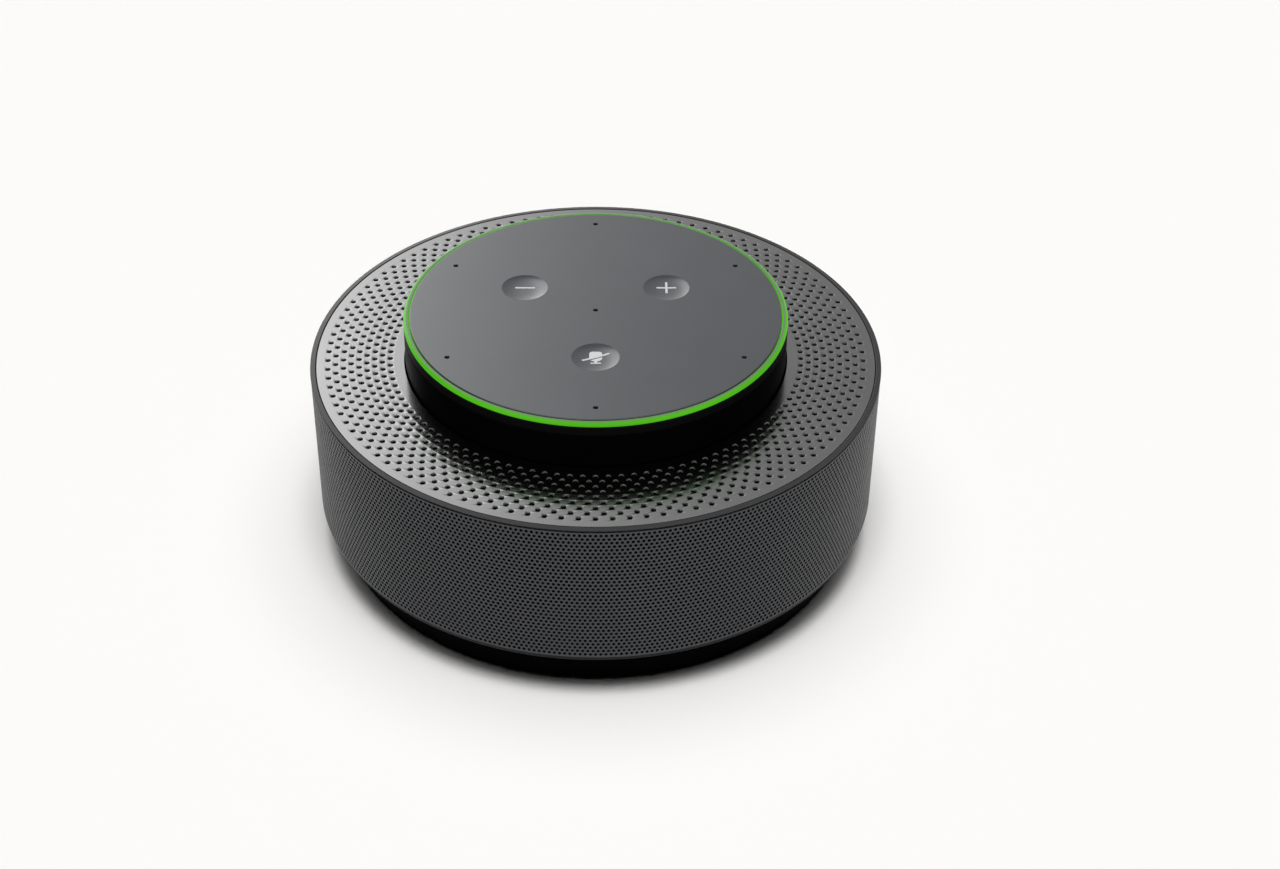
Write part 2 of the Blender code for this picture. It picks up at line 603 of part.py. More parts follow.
def pod_housing(unit):
    flange_r, flange_top = 52.2 * MM, 50.7 * MM
    wall_top = BEZEL_LOW - 0.2 * MM
    profile = [(0.0, POD_FLOOR), (POD_WALL_R, POD_FLOOR), (POD_WALL_R, wall_top), (POD_R, wall_top),
               (POD_R, flange_top), (flange_r, flange_top), (flange_r, POD_LOW), (0.0, POD_LOW)]
    housing = unit.turned("pod_housing", profile, BIG, "pod", "gloss_black")
    bosses = bmesh.new()
    cuts = ribbon_slot(POD_LOW - MM, POD_FLOOR + MM)
    for angle in POD_SCREW_ANGLES:
        centre = polar(POD_SCREW_R, angle)
        add_cylinder(bosses, 3.2 * MM, POD_LOW + MM, BOARD_LOW - GAP, centre)
        add_cylinder(cuts, 1.3 * MM, POD_LOW - MM, BOARD_LOW + MM, centre)
    combine(housing, "UNION", guide("pod_bosses", bosses))
    combine(housing, "DIFFERENCE", guide("pod_cuts", cuts))


def pod_bezel(unit):
    """Thin black lip under the light ring, with the shelf that carries the ring."""
    lip_top = HEIGHT - 0.1 * MM - RING_T - GAP
    wall_r, shelf_r, shelf_top = POD_R - 0.5 * MM, 47.6 * MM, BEZEL_LOW + 0.6 * MM
    profile = [(POD_R, lip_top), (POD_R, BEZEL_LOW), (shelf_r, BEZEL_LOW), (shelf_r, shelf_top),
               (wall_r, shelf_top), (wall_r, lip_top)]
    unit.turned("pod_bezel", profile, BIG, "pod", "gloss_black")


def light_ring(unit):
    """Translucent light guide: the ring that shows, its stem and the web over the lamps."""
    top = HEIGHT - 0.1 * MM
    low = top - RING_T
    stem_r, web_in, web_top, web_low = 48.3 * MM, 45.0 * MM, HEIGHT - DISC_T - GAP, 62.4 * MM
    chamfer = 0.3 * MM
    profile = [(POD_R - chamfer, top), (POD_R, top - chamfer), (POD_R, low), (stem_r, low), (stem_r, web_low),
               (web_in, web_low), (web_in, web_top), (RING_INNER_R, web_top), (RING_INNER_R, top)]
    unit.turned("light_ring", profile, BIG, "pod", "light_guide")


def top_disc(unit):
    low = HEIGHT - DISC_T
    chamfer = 0.2 * MM
    profile = [(0.0, HEIGHT), (DISC_R - chamfer, HEIGHT), (DISC_R, HEIGHT - chamfer), (DISC_R, low), (0.0, low)]
    disc = unit.turned("top_disc", profile, BIG, "pod", "satin_grey")
    bosses = bmesh.new()
    bores = bmesh.new()
    for angle in POD_SCREW_ANGLES:
        centre = polar(POD_SCREW_R, angle)
        add_cylinder(bosses, 2.4 * MM, BOARD_TOP + GAP, HEIGHT - MM, centre)
        add_cylinder(bores, 1.3 * MM, BOARD_TOP - MM, HEIGHT - 2.1 * MM, centre)
    holes = bmesh.new()
    for angle in KEY_ANGLES.values():
        add_cylinder(holes, KEY_OPENING_R, low - MM, HEIGHT + MM, polar(KEY_CIRCLE_R, angle), SMALL)
    for centre in microphone_places():
        add_cylinder(holes, 0.6 * MM, low - MM, HEIGHT + MM, centre, 8)
    combine(disc, "UNION", guide("disc_bosses", bosses))
    combine(disc, "DIFFERENCE", guide("disc_bores", bores))
    combine(disc, "DIFFERENCE", guide("disc_holes", holes))


def microphone_places():
    return [Vector((0.0, 0.0, 0.0))] + [polar(MIC_R, angle) for angle in MIC_ANGLES]


def keys(unit):
    """Dished key caps with a retaining flange, each over its switch and plunger."""
    flange_top = HEIGHT - DISC_T - GAP
    flange_low = flange_top - 0.7 * MM
    stem_low = flange_low - 0.2 * MM
    body_low, body_top = BOARD_TOP + GAP, 61.3 * MM
    for name, angle in KEY_ANGLES.items():
        centre = polar(KEY_CIRCLE_R, angle)
        dish = []
        for share in (0.0, 0.35, 0.7, 1.0):
            dish.append((share * KEY_R, HEIGHT - KEY_DISH * (1.0 - share ** 2)))
        profile = dish + [(KEY_R, flange_top), (KEY_FLANGE_R, flange_top), (KEY_FLANGE_R, flange_low),
                          (1.5 * MM, flange_low), (1.5 * MM, stem_low), (0.0, stem_low)]
        shape = bmesh.new()
        add_turned(shape, profile, SMALL, centre)
        unit.part(f"key_{name}", shape, "pod", "key_grey", (centre.x, centre.y, flange_top))

        shape = bmesh.new()
        add_cylinder(shape, 1.0 * MM, 60.8 * MM, stem_low - GAP, centre)
        unit.part(f"plunger_{name}", shape, "pod", "plunger_white", (centre.x, centre.y, body_top))

        shape = bmesh.new()
        half = 2.25 * MM
        add_box(shape, (centre.x - half, centre.y - half, body_low), (centre.x + half, centre.y + half, body_top))
        switch = unit.part(f"switch_{name}", shape, "pod", "switch_black", (centre.x, centre.y, body_low))
        well = bmesh.new()
        add_cylinder(well, 1.25 * MM, body_low + 0.2 * MM, body_top + MM, centre)
        combine(switch, "DIFFERENCE", guide(f"switch_well_{name}", well))


def mic_board(unit):
    profile = [(0.0, BOARD_TOP), (47.0 * MM, BOARD_TOP), (47.0 * MM, BOARD_LOW), (0.0, BOARD_LOW)]
    board = unit.turned("mic_board", profile, MEDIUM, "pod", "board_green")
    holes = bmesh.new()
    for centre in microphone_places():
        add_cylinder(holes, 0.5 * MM, BOARD_LOW - MM, BOARD_TOP + MM, centre, 8)
    for angle in POD_SCREW_ANGLES:
        add_cylinder(holes, 1.4 * MM, BOARD_LOW - MM, BOARD_TOP + MM, polar(POD_SCREW_R, angle))
    combine(board, "DIFFERENCE", guide("board_holes", holes))


def mic_gasket(unit):
    """One soft seal that leads each hole in the disc to its microphone."""
    low, high = BOARD_TOP + GAP, HEIGHT - DISC_T - GAP
    inner, outer, hub_r = 40.0 * MM, 44.7 * MM, 3.5 * MM
    shape = bmesh.new()
    add_ring(shape, inner, outer, low, high, MEDIUM)
    gasket = unit.part("mic_gasket", shape, "pod", "silicone", (0.0, 0.0, low))
    hub = bmesh.new()
    add_cylinder(hub, hub_r, low, high)
    combine(gasket, "UNION", guide("gasket_hub", hub))
    arms = bmesh.new()
    for angle in (90, 210, 330):
        add_box(arms, (hub_r - MM, -1.5 * MM, low + 0.5 * MM), (inner + MM, 1.5 * MM, high - 0.5 * MM), angle)
    combine(gasket, "UNION", guide("gasket_arms", arms))
    bores = bmesh.new()
    for centre in microphone_places():
        add_cylinder(bores, 0.7 * MM, low - MM, high + MM, centre, 8)
    combine(gasket, "DIFFERENCE", guide("gasket_bores", bores))


def small_block(name, size, finish):
    """A little rectangular component with its origin in the middle of its base."""
    shape = bmesh.new()
    add_box(shape, (-size[0] / 2, -size[1] / 2, 0.0), (size[0] / 2, size[1] / 2, size[2]))
    mesh = to_mesh(name, shape, (0.0, 0.0, 0.0))
    mesh.materials.append(finish)
    return mesh


def microphones(unit):
    size = (2.65 * MM, 3.5 * MM, 0.98 * MM)
    mesh = small_block("microphone", size, unit.materials["chip_metal"])
    base = BOARD_LOW - GAP - size[2]
    for number, (centre, angle) in enumerate(zip(microphone_places(), (0, *MIC_ANGLES))):
        unit.place(f"microphone_{number}", mesh, "pod", (centre.x, centre.y, base), angle)


def lamps(unit):
    mesh = small_block("lamp", (1.6 * MM, 2.8 * MM, 0.8 * MM), unit.materials["led_white"])
    for number, angle in enumerate(LED_ANGLES, 1):
        unit.place(f"ring_led_{number}", mesh, "pod", polar(45.9 * MM, angle, BOARD_TOP + GAP), angle)


def pod_screws(unit):
    under_head = CAGE_PLATE_LOW - GAP
    mesh = screw_mesh("pod_screw", 2.1 * MM, 1.1 * MM, 1.0 * MM, 14.5 * MM, unit.materials["screw_steel"])
    for number, angle in enumerate(POD_SCREW_ANGLES, 1):
        unit.place(f"pod_screw_{number}", mesh, "pod", polar(POD_SCREW_R, angle, under_head))


# ---------------------------------------------------------------- whole unit

def main():
    clear_scene()
    unit = Assembly()
    unit.group("base", 0.0)
    unit.group("body", GRILLE_LOW)
    unit.group("speaker", BOX_LOW)
    unit.group("cone", 31.0 * MM)
    unit.group("pod", POD_LOW)
    for build in (base_cover, foot_ring, base_trim_ring, main_board, usb_c_socket, base_screws,
                  side_grille, side_cloth, rim_ring, deck_grille, deck_cloth, grille_cage, ribbon_cable,
                  speaker_box, baffle_plate, driver_basket, driver_motor, moving_cone, suspension, driver_screws,
                  pod_housing, pod_bezel, light_ring, top_disc, keys, mic_board, mic_gasket,
                  microphones, lamps, pod_screws):
        build(unit)


main()
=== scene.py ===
"""Looks of the round conference speakerphone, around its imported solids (metres, +Z up, front at -Y)."""

import math

import bmesh
import bpy
import numpy as np
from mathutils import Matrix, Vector


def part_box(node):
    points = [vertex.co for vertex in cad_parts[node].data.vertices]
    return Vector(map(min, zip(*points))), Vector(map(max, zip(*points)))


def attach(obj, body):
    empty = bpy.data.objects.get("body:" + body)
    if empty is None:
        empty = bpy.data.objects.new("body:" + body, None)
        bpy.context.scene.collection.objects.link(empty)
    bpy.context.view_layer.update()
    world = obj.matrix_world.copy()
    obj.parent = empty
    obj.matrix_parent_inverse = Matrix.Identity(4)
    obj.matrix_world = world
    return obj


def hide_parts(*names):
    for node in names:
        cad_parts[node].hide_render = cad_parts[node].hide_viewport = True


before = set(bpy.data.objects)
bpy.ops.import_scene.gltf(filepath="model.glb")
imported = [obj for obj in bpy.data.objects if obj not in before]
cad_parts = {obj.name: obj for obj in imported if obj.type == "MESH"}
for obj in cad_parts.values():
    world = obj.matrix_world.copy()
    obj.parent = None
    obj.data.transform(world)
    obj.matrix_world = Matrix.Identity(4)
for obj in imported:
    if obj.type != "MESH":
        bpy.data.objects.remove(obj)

MM = 0.001
FINE, MEDIUM, ROUND, SMALL = 256, 128, 64, 32     # segments of turned pieces, the largest first
SHARP = math.radians(25)                          # faces that meet at more than this keep a hard edge

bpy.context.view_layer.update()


def reach(node):
    """Outer radius, lowest and highest place of a round solid centred on the axis."""
    low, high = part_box(node)
    return (high.x - low.x) / 2, low.z, high.z


DISC_R, DISC_LOW, TOP_Z = reach("top_disc")
RING_R, RING_LOW, RING_TOP = reach("light_ring")
BEZEL_R, BEZEL_LOW, BEZEL_TOP = reach("pod_bezel")
POD_FLANGE_R, POD_LOW, POD_TOP = reach("pod_housing")
POD_R = BEZEL_R
DECK_R, _, DECK_Z = reach("deck_grille")
RIM_R, RIM_LOW, RIM_TOP = reach("rim_ring")
GRILLE_R, GRILLE_LOW, GRILLE_HIGH = reach("side_grille")
TRIM_R, TRIM_LOW, TRIM_TOP = reach("base_trim_ring")
BASE_TOP_R, BASE_Z, BOSS_TOP = reach("base_cover")
FOOT_R, FOOT_LOW, FOOT_TOP = reach("foot_ring")

DISC_T = 1.8 * MM
UNDER_DISC = TOP_Z - DISC_T - 0.3 * MM            # top of what the disc holds down
MIC_R = 42.5 * MM
MIC_HOLE_R = 0.6 * MM
MIC_ANGLES = (30, 90, 150, 210, 270, 330)
KEY_CIRCLE_R = 21.2 * MM
KEY_ANGLES = {"volume_up": 30, "volume_down": 150, "mic_mute": 270}
KEY_R = 5.97 * MM
KEY_GAP = 0.03 * MM
KEY_DISH = 0.5 * MM
KEY_DISH_POWER = 2.8                              # above 2, the hollow is flatter inside and steeper outside
POD_SCREWS = (60, 180, 300)
POD_SCREW_R, POD_BORE_R = 33 * MM, 1.3 * MM
BASE_SCREWS = (30, 150, 270)
BASE_SCREW_R = 62.5 * MM
BOARD_PADS = (90, 210, 330)
BOARD_PAD_R = 50 * MM
RING_LAMPS = 6

# Studio. The panel's strength is SKY_RIGHT + SKY_MIDDLE * exp(-x / SKY_FADE), up to SKY_LEFT.
SKY_LEFT, SKY_MIDDLE, SKY_RIGHT, SKY_FADE = 3.0, 0.50, 0.51, 0.078
SKY_OVER, SKY_FRONT = 0.25, 1.3                   # strength overhead and in front
FRONT_STARTS, FRONT_FULL = -0.2, -0.5             # where the front begins, as y of the direction
PANEL_STARTS, PANEL_FULL = 0.58, 0.72             # where the panel begins, likewise
BACKDROP = (0.955, 0.947, 0.930)
FLOOR_COLOUR, FLOOR_HALF = (0.90, 0.892, 0.877), 3.0
LAMPS = {                                         # strength, angular width and lean to the front, in degrees
    "key_light": (1.85, 24, 9),
    "fill_light": (1.57, 62, 0),
}
CAMERA_SENSOR, CAMERA_LENS = 36.0, 60.52          # in millimetres
CAMERA_SHIFT = 0.03464
CAMERA_BACK, CAMERA_UP = 0.46038, 0.30204         # from the axis, and above the disc
CAMERA_PITCH = 36.58                              # below the horizon, in degrees


# ---------------------------------------------------------------- mesh tools

def polar(radius, degrees, height=0.0):
    angle = math.radians(degrees)
    return Vector((radius * math.cos(angle), radius * math.sin(angle), height))


def eased(corners, steps=5):
    """Outline with each (radius, height, ease) corner rounded to the radius ease."""
    points = []
    for index, (radius, height, ease) in enumerate(corners):
        here = Vector((radius, height))
        if not ease:
            points.append((radius, height))
            continue
        back = (Vector(corners[index - 1][:2]) - here).normalized()
        on = (Vector(corners[(index + 1) % len(corners)][:2]) - here).normalized()
        half = back.angle(on) / 2
        centre = here + (back + on).normalized() * ease / math.sin(half)
        first = here + back * ease / math.tan(half) - centre
        last = here + on * ease / math.tan(half) - centre
        for step in range(steps + 1):
            points.append(tuple(centre + first.lerp(last, step / steps).normalized() * ease))
    return points


def turned(profile, segments=FINE, centre=(0.0, 0.0)):
    """Vertices and faces of an outline of (radius, height) points turned about an upright axis."""
    on_axis = profile[0][0] == 0.0
    rings = profile[1:-1] if on_axis else profile
    angles = np.arange(segments) * math.tau / segments
    verts = []
    for radius, height in rings:
        ring = np.column_stack((centre[0] + radius * np.cos(angles), centre[1] + radius * np.sin(angles),
                                np.full(segments, height)))
        verts.extend(ring.tolist())
    faces = []
    spans = len(rings) if not on_axis else len(rings) - 1
    for row in range(spans):
        upper, lower = row * segments, (row + 1) % len(rings) * segments
        for step in range(segments):
            after = (step + 1) % segments
            faces.append((upper + step, lower + step, lower + after, upper + after))
    if on_axis:
        for end, ring, turn in ((profile[0], 0, 1), (profile[-1], len(rings) - 1, -1)):
            loop = [ring * segments + step for step in range(segments)][::turn]
            if math.isclose(end[1], rings[ring][1], abs_tol=1e-9):
                faces.append(tuple(loop))
                continue
            verts.append([centre[0], centre[1], end[1]])
            pole = len(verts) - 1
            faces.extend((loop[step], loop[(step + 1) % segments], pole) for step in range(segments))
    return verts, faces


def pin(radius, low, high, centre=(0.0, 0.0), segments=ROUND):
    return turned([(0.0, high), (radius, high), (radius, low), (0.0, low)], segments, centre)


def block(low, high, degrees=0.0):
    """Vertices and faces of a box, turned about the world's upright axis."""
    corners = [(x, y, z) for z in (low[2], high[2]) for y in (low[1], high[1]) for x in (low[0], high[0])]
    cos, sin = math.cos(math.radians(degrees)), math.sin(math.radians(degrees))
    verts = [(x * cos - y * sin, x * sin + y * cos, z) for x, y, z in corners]
    faces = [(0, 2, 3, 1), (4, 5, 7, 6), (0, 1, 5, 4), (2, 6, 7, 3), (0, 4, 6, 2), (1, 3, 7, 5)]
    return verts, faces


def together(*shapes):
    verts, faces = [], []
    for more_verts, more_faces in shapes:
        start = len(verts)
        verts.extend(more_verts)
        faces.extend(tuple(index + start for index in face) for face in more_faces)
    return verts, faces


def linked(name, data):
    """A new object for a mesh, a light or a camera, in the scene."""
    item = bpy.data.objects.new(name, data)
    bpy.context.scene.collection.objects.link(item)
    return item


def to_object(name, shape):
    verts, faces = shape
    mesh = bpy.data.meshes.new(name)
    mesh.from_pydata(verts, [], faces)
    form = bmesh.new()
    form.from_mesh(mesh)
    bmesh.ops.recalc_face_normals(form, faces=form.faces)
    form.to_mesh(mesh)
    form.free()
    return linked(name, mesh)


def carve(piece, operation, *shapes):
    """Cut the shapes away from a piece, or join them to it."""
    tool = to_object("tool", together(*shapes))
    modifier = piece.modifiers.new("carve", "BOOLEAN")
    modifier.operation = operation
    modifier.solver = "EXACT"
    modifier.object = tool
    done = bpy.data.meshes.new_from_object(piece.evaluated_get(bpy.context.evaluated_depsgraph_get()))
    piece.modifiers.clear()
    piece.data = done
    bpy.data.objects.remove(tool, do_unlink=True)


def settle(piece, body, slot, material, *nodes):
    """Shade a finished piece, give it its material and fix it to its body."""
    piece.data.shade_smooth()
    piece.data.set_sharp_from_angle(angle=SHARP)
    even = piece.modifiers.new("even_shading", "WEIGHTED_NORMAL")
    even.keep_sharp = True
    piece.data.materials.clear()
    piece.data.materials.append(material)
    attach(piece, body)
    if nodes:
        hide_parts(*nodes)
    return piece


EASE_TURNS = 4                                    # rings of points on the rounded edge of a hole


def perforated(name, place, lines, columns, holes, hole_r, turn_r, thickness, ease, along, across, sector,
               flip):
    """A closed sheet with staggered round holes, drawn in (angle, line, depth) and placed by place().

    lines are the row edges, and holes says which rows are pierced. Each pierced cell has
    2 * (along + across) points around its edge and as many around its hole. ease is the radius of the
    holes' front edges. turn_r gives the radius of a line about the axis. sector is the range of columns
    that is made. flip turns the faces over, for a place() that mirrors.
    """
    lines, holes = np.array(lines), np.array(holes)
    around = columns * along
    points = 2 * (along + across)
    rows = len(lines) - 1

    def half_shift(count):
        return (np.maximum(count, 0) % 2 - 1) * (along // 2)

    row_ids = np.arange(rows)
    column_ids = np.arange(*sector)
    row_grid, column_grid = np.meshgrid(row_ids, column_ids, indexing="ij")
    pierced = holes[row_grid]
    hole_count = np.cumsum(holes)[row_grid] - 1
    start = column_grid * along + half_shift(hole_count)

    def on_line(line, offset):
        return line * around + (start + offset) % around

    side_first = len(lines) * around
    side_count = rows * columns * (across - 1)

    def on_side(step, shift):
        return side_first + (row_grid * columns + (column_grid + shift) % columns) * (across - 1) + step - 1

    edge = [on_line(row_grid, step) for step in range(along + 1)]
    edge += [on_side(step, 1) for step in range(1, across)]
    edge += [on_line(row_grid + 1, along - step) for step in range(along + 1)]
    edge += [on_side(across - step, 0) for step in range(1, across)]
    edge = np.stack(edge, axis=-1)[pierced]

    turns = EASE_TURNS if ease else 1
    first_hole = side_first + side_count
    cells = edge.shape[0]
    ring = first_hole + np.arange(cells * points * turns).reshape(turns, cells, points)

    line_angles = np.arange(around) * math.tau / around
    angle = [np.tile(line_angles, len(lines))]
    height = [np.repeat(lines, around)]
    if side_count:
        all_rows, all_columns, steps = np.meshgrid(row_ids, np.arange(columns), np.arange(1, across),
                                                   indexing="ij")
        shift = half_shift(np.cumsum(holes) - 1)[all_rows]
        angle.append(((all_columns * along + shift) * math.tau / around).ravel())
        share = steps / across
        height.append((lines[all_rows] * (1 - share) + lines[all_rows + 1] * share).ravel())
    middle_angle = (start + along / 2)[pierced] * math.tau / around
    middle_line = ((lines[row_grid] + lines[row_grid + 1]) / 2)[pierced]
    phase = -math.pi / 2 + (np.arange(points) - along / 2) * math.tau / points
    depth = [np.zeros(first_hole)]
    for turn in range(turns):
        lean = math.pi / 2 * turn / max(turns - 1, 1)
        wide = hole_r + ease * (1.0 - math.sin(lean))
        local_r = turn_r(middle_line)[:, None]
        angle.append((middle_angle[:, None] + wide * np.cos(phase) / local_r).ravel())
        height.append((middle_line[:, None] + wide * np.sin(phase)).ravel())
        depth.append(np.full(cells * points, ease * (1.0 - math.cos(lean))))
    angle, height, depth = (np.concatenate(part) for part in (angle, height, depth))

    def band(outer, inner):
        return np.stack((outer, np.roll(outer, -1, 1), np.roll(inner, -1, 1), inner), -1).reshape(-1, 4)

    loops = [edge, *ring]
    pierced_front = [band(outer, inner) for outer, inner in zip(loops, loops[1:])]
    plain = ~pierced
    margins = []
    for step in range(along):
        low_a, low_b = on_line(row_grid, step)[plain], on_line(row_grid, step + 1)[plain]
        high_a, high_b = on_line(row_grid + 1, step)[plain], on_line(row_grid + 1, step + 1)[plain]
        margins.append(np.stack((low_a, low_b, high_b, high_a), -1))
    front = np.concatenate(pierced_front + margins)
    back = np.concatenate([band(edge, ring[-1])] + margins)[:, ::-1]

    total = len(angle)
    ends = np.stack((front, np.roll(front, -1, 1)), -1).reshape(-1, 2)
    lone = ends[~np.isin(ends[:, 0] * total + ends[:, 1], ends[:, 1] * total + ends[:, 0])]
    walls = np.stack((lone[:, 1], lone[:, 0], lone[:, 0] + total, lone[:, 1] + total), -1)
    faces = np.concatenate((front, back + total, walls))
    if flip:
        faces = faces[:, ::-1]
    used, faces = np.unique(faces, return_inverse=True)
    faces = faces.reshape(-1, 4).astype(np.int32)
    front_spots = place(angle, height, depth)
    back_spots = place(angle, height, np.full(total, thickness))
    spots = np.concatenate((front_spots, back_spots))[used]

    mesh = bpy.data.meshes.new(name)
    mesh.vertices.add(len(spots))
    mesh.vertices.foreach_set("co", spots.astype(np.float32).ravel())
    mesh.loops.add(faces.size)
    mesh.loops.foreach_set("vertex_index", faces.ravel())
    mesh.polygons.add(len(faces))
    mesh.polygons.foreach_set("loop_start", np.arange(0, faces.size, 4, dtype=np.int32))
    mesh.update(calc_edges=True)
    mesh.validate()
    return linked(name, mesh)


# ---------------------------------------------------------------- materials

def blank(name, colour, roughness, metallic=0.0, specular=0.5):
    material = bpy.data.materials.new(name)
    material.use_nodes = True
    shader = material.node_tree.nodes["Principled BSDF"]
    shader.inputs["Base Color"].default_value = (*colour, 1.0)
    shader.inputs["Roughness"].default_value = roughness
    shader.inputs["Metallic"].default_value = metallic
    shader.inputs["Specular IOR Level"].default_value = specular
    return material, shader


def feed(tree, socket, value):
    """Link a socket to another one, or set it to a plain value."""
    if isinstance(value, bpy.types.NodeSocket):
        tree.links.new(value, socket)
    else:
        socket.default_value = value


def maths(tree, operation, *values):
    node = tree.nodes.new("ShaderNodeMath")
    node.operation = operation
    for socket, value in zip(node.inputs, values):
        feed(tree, socket, value)
    return node.outputs["Value"]


def ramp(tree, source, start, end, kind="SMOOTHSTEP"):
    """Goes from 0 to 1 as the source goes from start to end."""
    node = tree.nodes.new("ShaderNodeMapRange")
    node.interpolation_type = kind
    node.inputs["From Min"].default_value = start
    node.inputs["From Max"].default_value = end
    tree.links.new(source, node.inputs["Value"])
    return node.outputs["Result"]


def mix(tree, factor, low, high, kind="Float"):
    """low where the factor is 0 and high where it is 1; kind is Float or Color."""
    node = tree.nodes.new("ShaderNodeMix")
    node.data_type = {"Float": "FLOAT", "Color": "RGBA"}[kind]
    sockets = {socket.identifier: socket for socket in node.inputs}
    for key, value in (("Factor_Float", factor), (f"A_{kind}", low), (f"B_{kind}", high)):
        feed(tree, sockets[key], value)
    return next(socket for socket in node.outputs if socket.identifier == f"Result_{kind}")


def gradient(tree, source, low, high, start=0.0, end=1.0):
    """A colour that goes from low to high as the source goes from start to end."""
    node = tree.nodes.new("ShaderNodeValToRGB")
    for stop, position, colour in zip(node.color_ramp.elements, (start, end), (low, high)):
        stop.position = position
        stop.color = (*colour, 1.0)
    tree.links.new(source, node.inputs["Fac"])
    return node.outputs["Color"]


def parts_of(tree, vector):
    """X, Y and Z of one of a texture coordinate node's vectors."""
    split = tree.nodes.new("ShaderNodeSeparateXYZ")
    tree.links.new(tree.nodes.new("ShaderNodeTexCoord").outputs[vector], split.inputs["Vector"])
    return split.outputs["X"], split.outputs["Y"], split.outputs["Z"]


def add_noise(material, scale, detail=3.0, stretch=None):
    """A noise texture in the piece's own space; scale is in cells per metre."""
    nodes, links = material.node_tree.nodes, material.node_tree.links
    place = nodes.new("ShaderNodeTexCoord")
    noise = nodes.new("ShaderNodeTexNoise")
    noise.inputs["Scale"].default_value = scale
    noise.inputs["Detail"].default_value = detail
    if stretch:
        mapping = nodes.new("ShaderNodeMapping")
        mapping.inputs["Scale"].default_value = stretch
        links.new(place.outputs["Object"], mapping.inputs["Vector"])
        links.new(mapping.outputs["Vector"], noise.inputs["Vector"])
    else:
        links.new(place.outputs["Object"], noise.inputs["Vector"])
    return noise.outputs["Fac"]


def tint(material, source, colour, spread):
    """Let the base colour drift by spread, as a share of itself."""
    tree = material.node_tree
    low, high = ([value * (1 + side * spread) for value in colour] for side in (-1, 1))
    drift = gradient(tree, source, low, high, 0.3, 0.7)
    tree.links.new(drift, tree.nodes["Principled BSDF"].inputs["Base Color"])


def mottle(material, source, roughness, spread):
    """Let the roughness drift by spread to both sides."""
    nodes, links = material.node_tree.nodes, material.node_tree.links
    span = nodes.new("ShaderNodeMapRange")
    span.inputs["To Min"].default_value = roughness - spread
    span.inputs["To Max"].default_value = roughness + spread
    links.new(source, span.inputs["Value"])
    links.new(span.outputs["Result"], nodes["Principled BSDF"].inputs["Roughness"])


def emboss(material, source, height):
    """Raise the surface by a texture; height is in metres."""
    nodes, links = material.node_tree.nodes, material.node_tree.links
    bump = nodes.new("ShaderNodeBump")
    bump.inputs["Distance"].default_value = height
    links.new(source, bump.inputs["Height"])
    links.new(bump.outputs["Normal"], nodes["Principled BSDF"].inputs["Normal"])


def moulded(name, colour, roughness, specular=0.5, grain=9000.0, height=0.004 * MM):
    """Moulded plastic with a fine spark-eroded grain and slightly uneven gloss."""
    material, _ = blank(name, colour, roughness, 0.0, specular)
    tint(material, add_noise(material, 60.0), colour, 0.05)
    grain = add_noise(material, grain, 2.0)
    mottle(material, grain, roughness, 0.03)
    emboss(material, grain, height)
    return material


def metal(name, colour, roughness, grain=7000.0, height=0.002 * MM, stretch=None):
    """Bare or painted metal with a fine, even blasted or drawn surface."""
    material, _ = blank(name, colour, roughness, 1.0)
    tint(material, add_noise(material, 45.0), colour, 0.03)
    grain = add_noise(material, grain, 2.0, stretch)
    mottle(material, grain, roughness, 0.025)
    emboss(material, grain, height)
    return material


def punched_metal(name, colour, roughness, bare, bare_roughness=0.45):
    """Satin metal, with rougher bare metal where the surface turns down into its holes."""
    material = metal(name, colour, roughness)
    tree = material.node_tree
    inputs = tree.nodes["Principled BSDF"].inputs
    steep = ramp(tree, maths(tree, "ABSOLUTE", parts_of(tree, "Normal")[2]), 0.5, 0.15, "LINEAR")
    finishes = (("Base Color", "Color", (*bare, 1.0)), ("Roughness", "Float", bare_roughness))
    for key, kind, finish in finishes:
        satin = inputs[key].links[0].from_socket
        tree.links.new(mix(tree, steep, satin, finish, kind), inputs[key])
    return material


def cloth(name, colour, pitch=0.35 * MM):
    """Plain-woven acoustic cloth: two crossed sets of threads."""
    material, _ = blank(name, colour, 0.95, 0.0, 0.0)
    tree = material.node_tree
    place = tree.nodes.new("ShaderNodeTexCoord")
    bands = []
    for direction in ("X", "Y"):
        wave = tree.nodes.new("ShaderNodeTexWave")
        wave.bands_direction = direction
        wave.inputs["Scale"].default_value = 1.0 / pitch / 2.0
        tree.links.new(place.outputs["Object"], wave.inputs["Vector"])
        bands.append(wave.outputs["Fac"])
    weave = maths(tree, "MAXIMUM", *bands)
    tint(material, weave, colour, 0.35)
    emboss(material, weave, 0.05 * MM)
    return material


def circuit_board(name):
    """Green solder mask with lighter copper tracks under it."""
    colour = (0.02, 0.16, 0.07)
    material, shader = blank(name, colour, 0.4)
    shader.inputs["Coat Weight"].default_value = 0.4
    nodes, links = material.node_tree.nodes, material.node_tree.links
    place = nodes.new("ShaderNodeTexCoord")
    bricks = nodes.new("ShaderNodeTexBrick")
    bricks.inputs["Scale"].default_value = 160.0
    bricks.inputs["Mortar Size"].default_value = 0.03
    bricks.inputs["Color1"].default_value = (*colour, 1.0)
    bricks.inputs["Color2"].default_value = (0.022, 0.19, 0.08, 1.0)
    bricks.inputs["Mortar"].default_value = (0.05, 0.32, 0.13, 1.0)
    links.new(place.outputs["Object"], bricks.inputs["Vector"])
    links.new(bricks.outputs["Color"], shader.inputs["Base Color"])
    emboss(material, bricks.outputs["Fac"], 0.02 * MM)
    return material


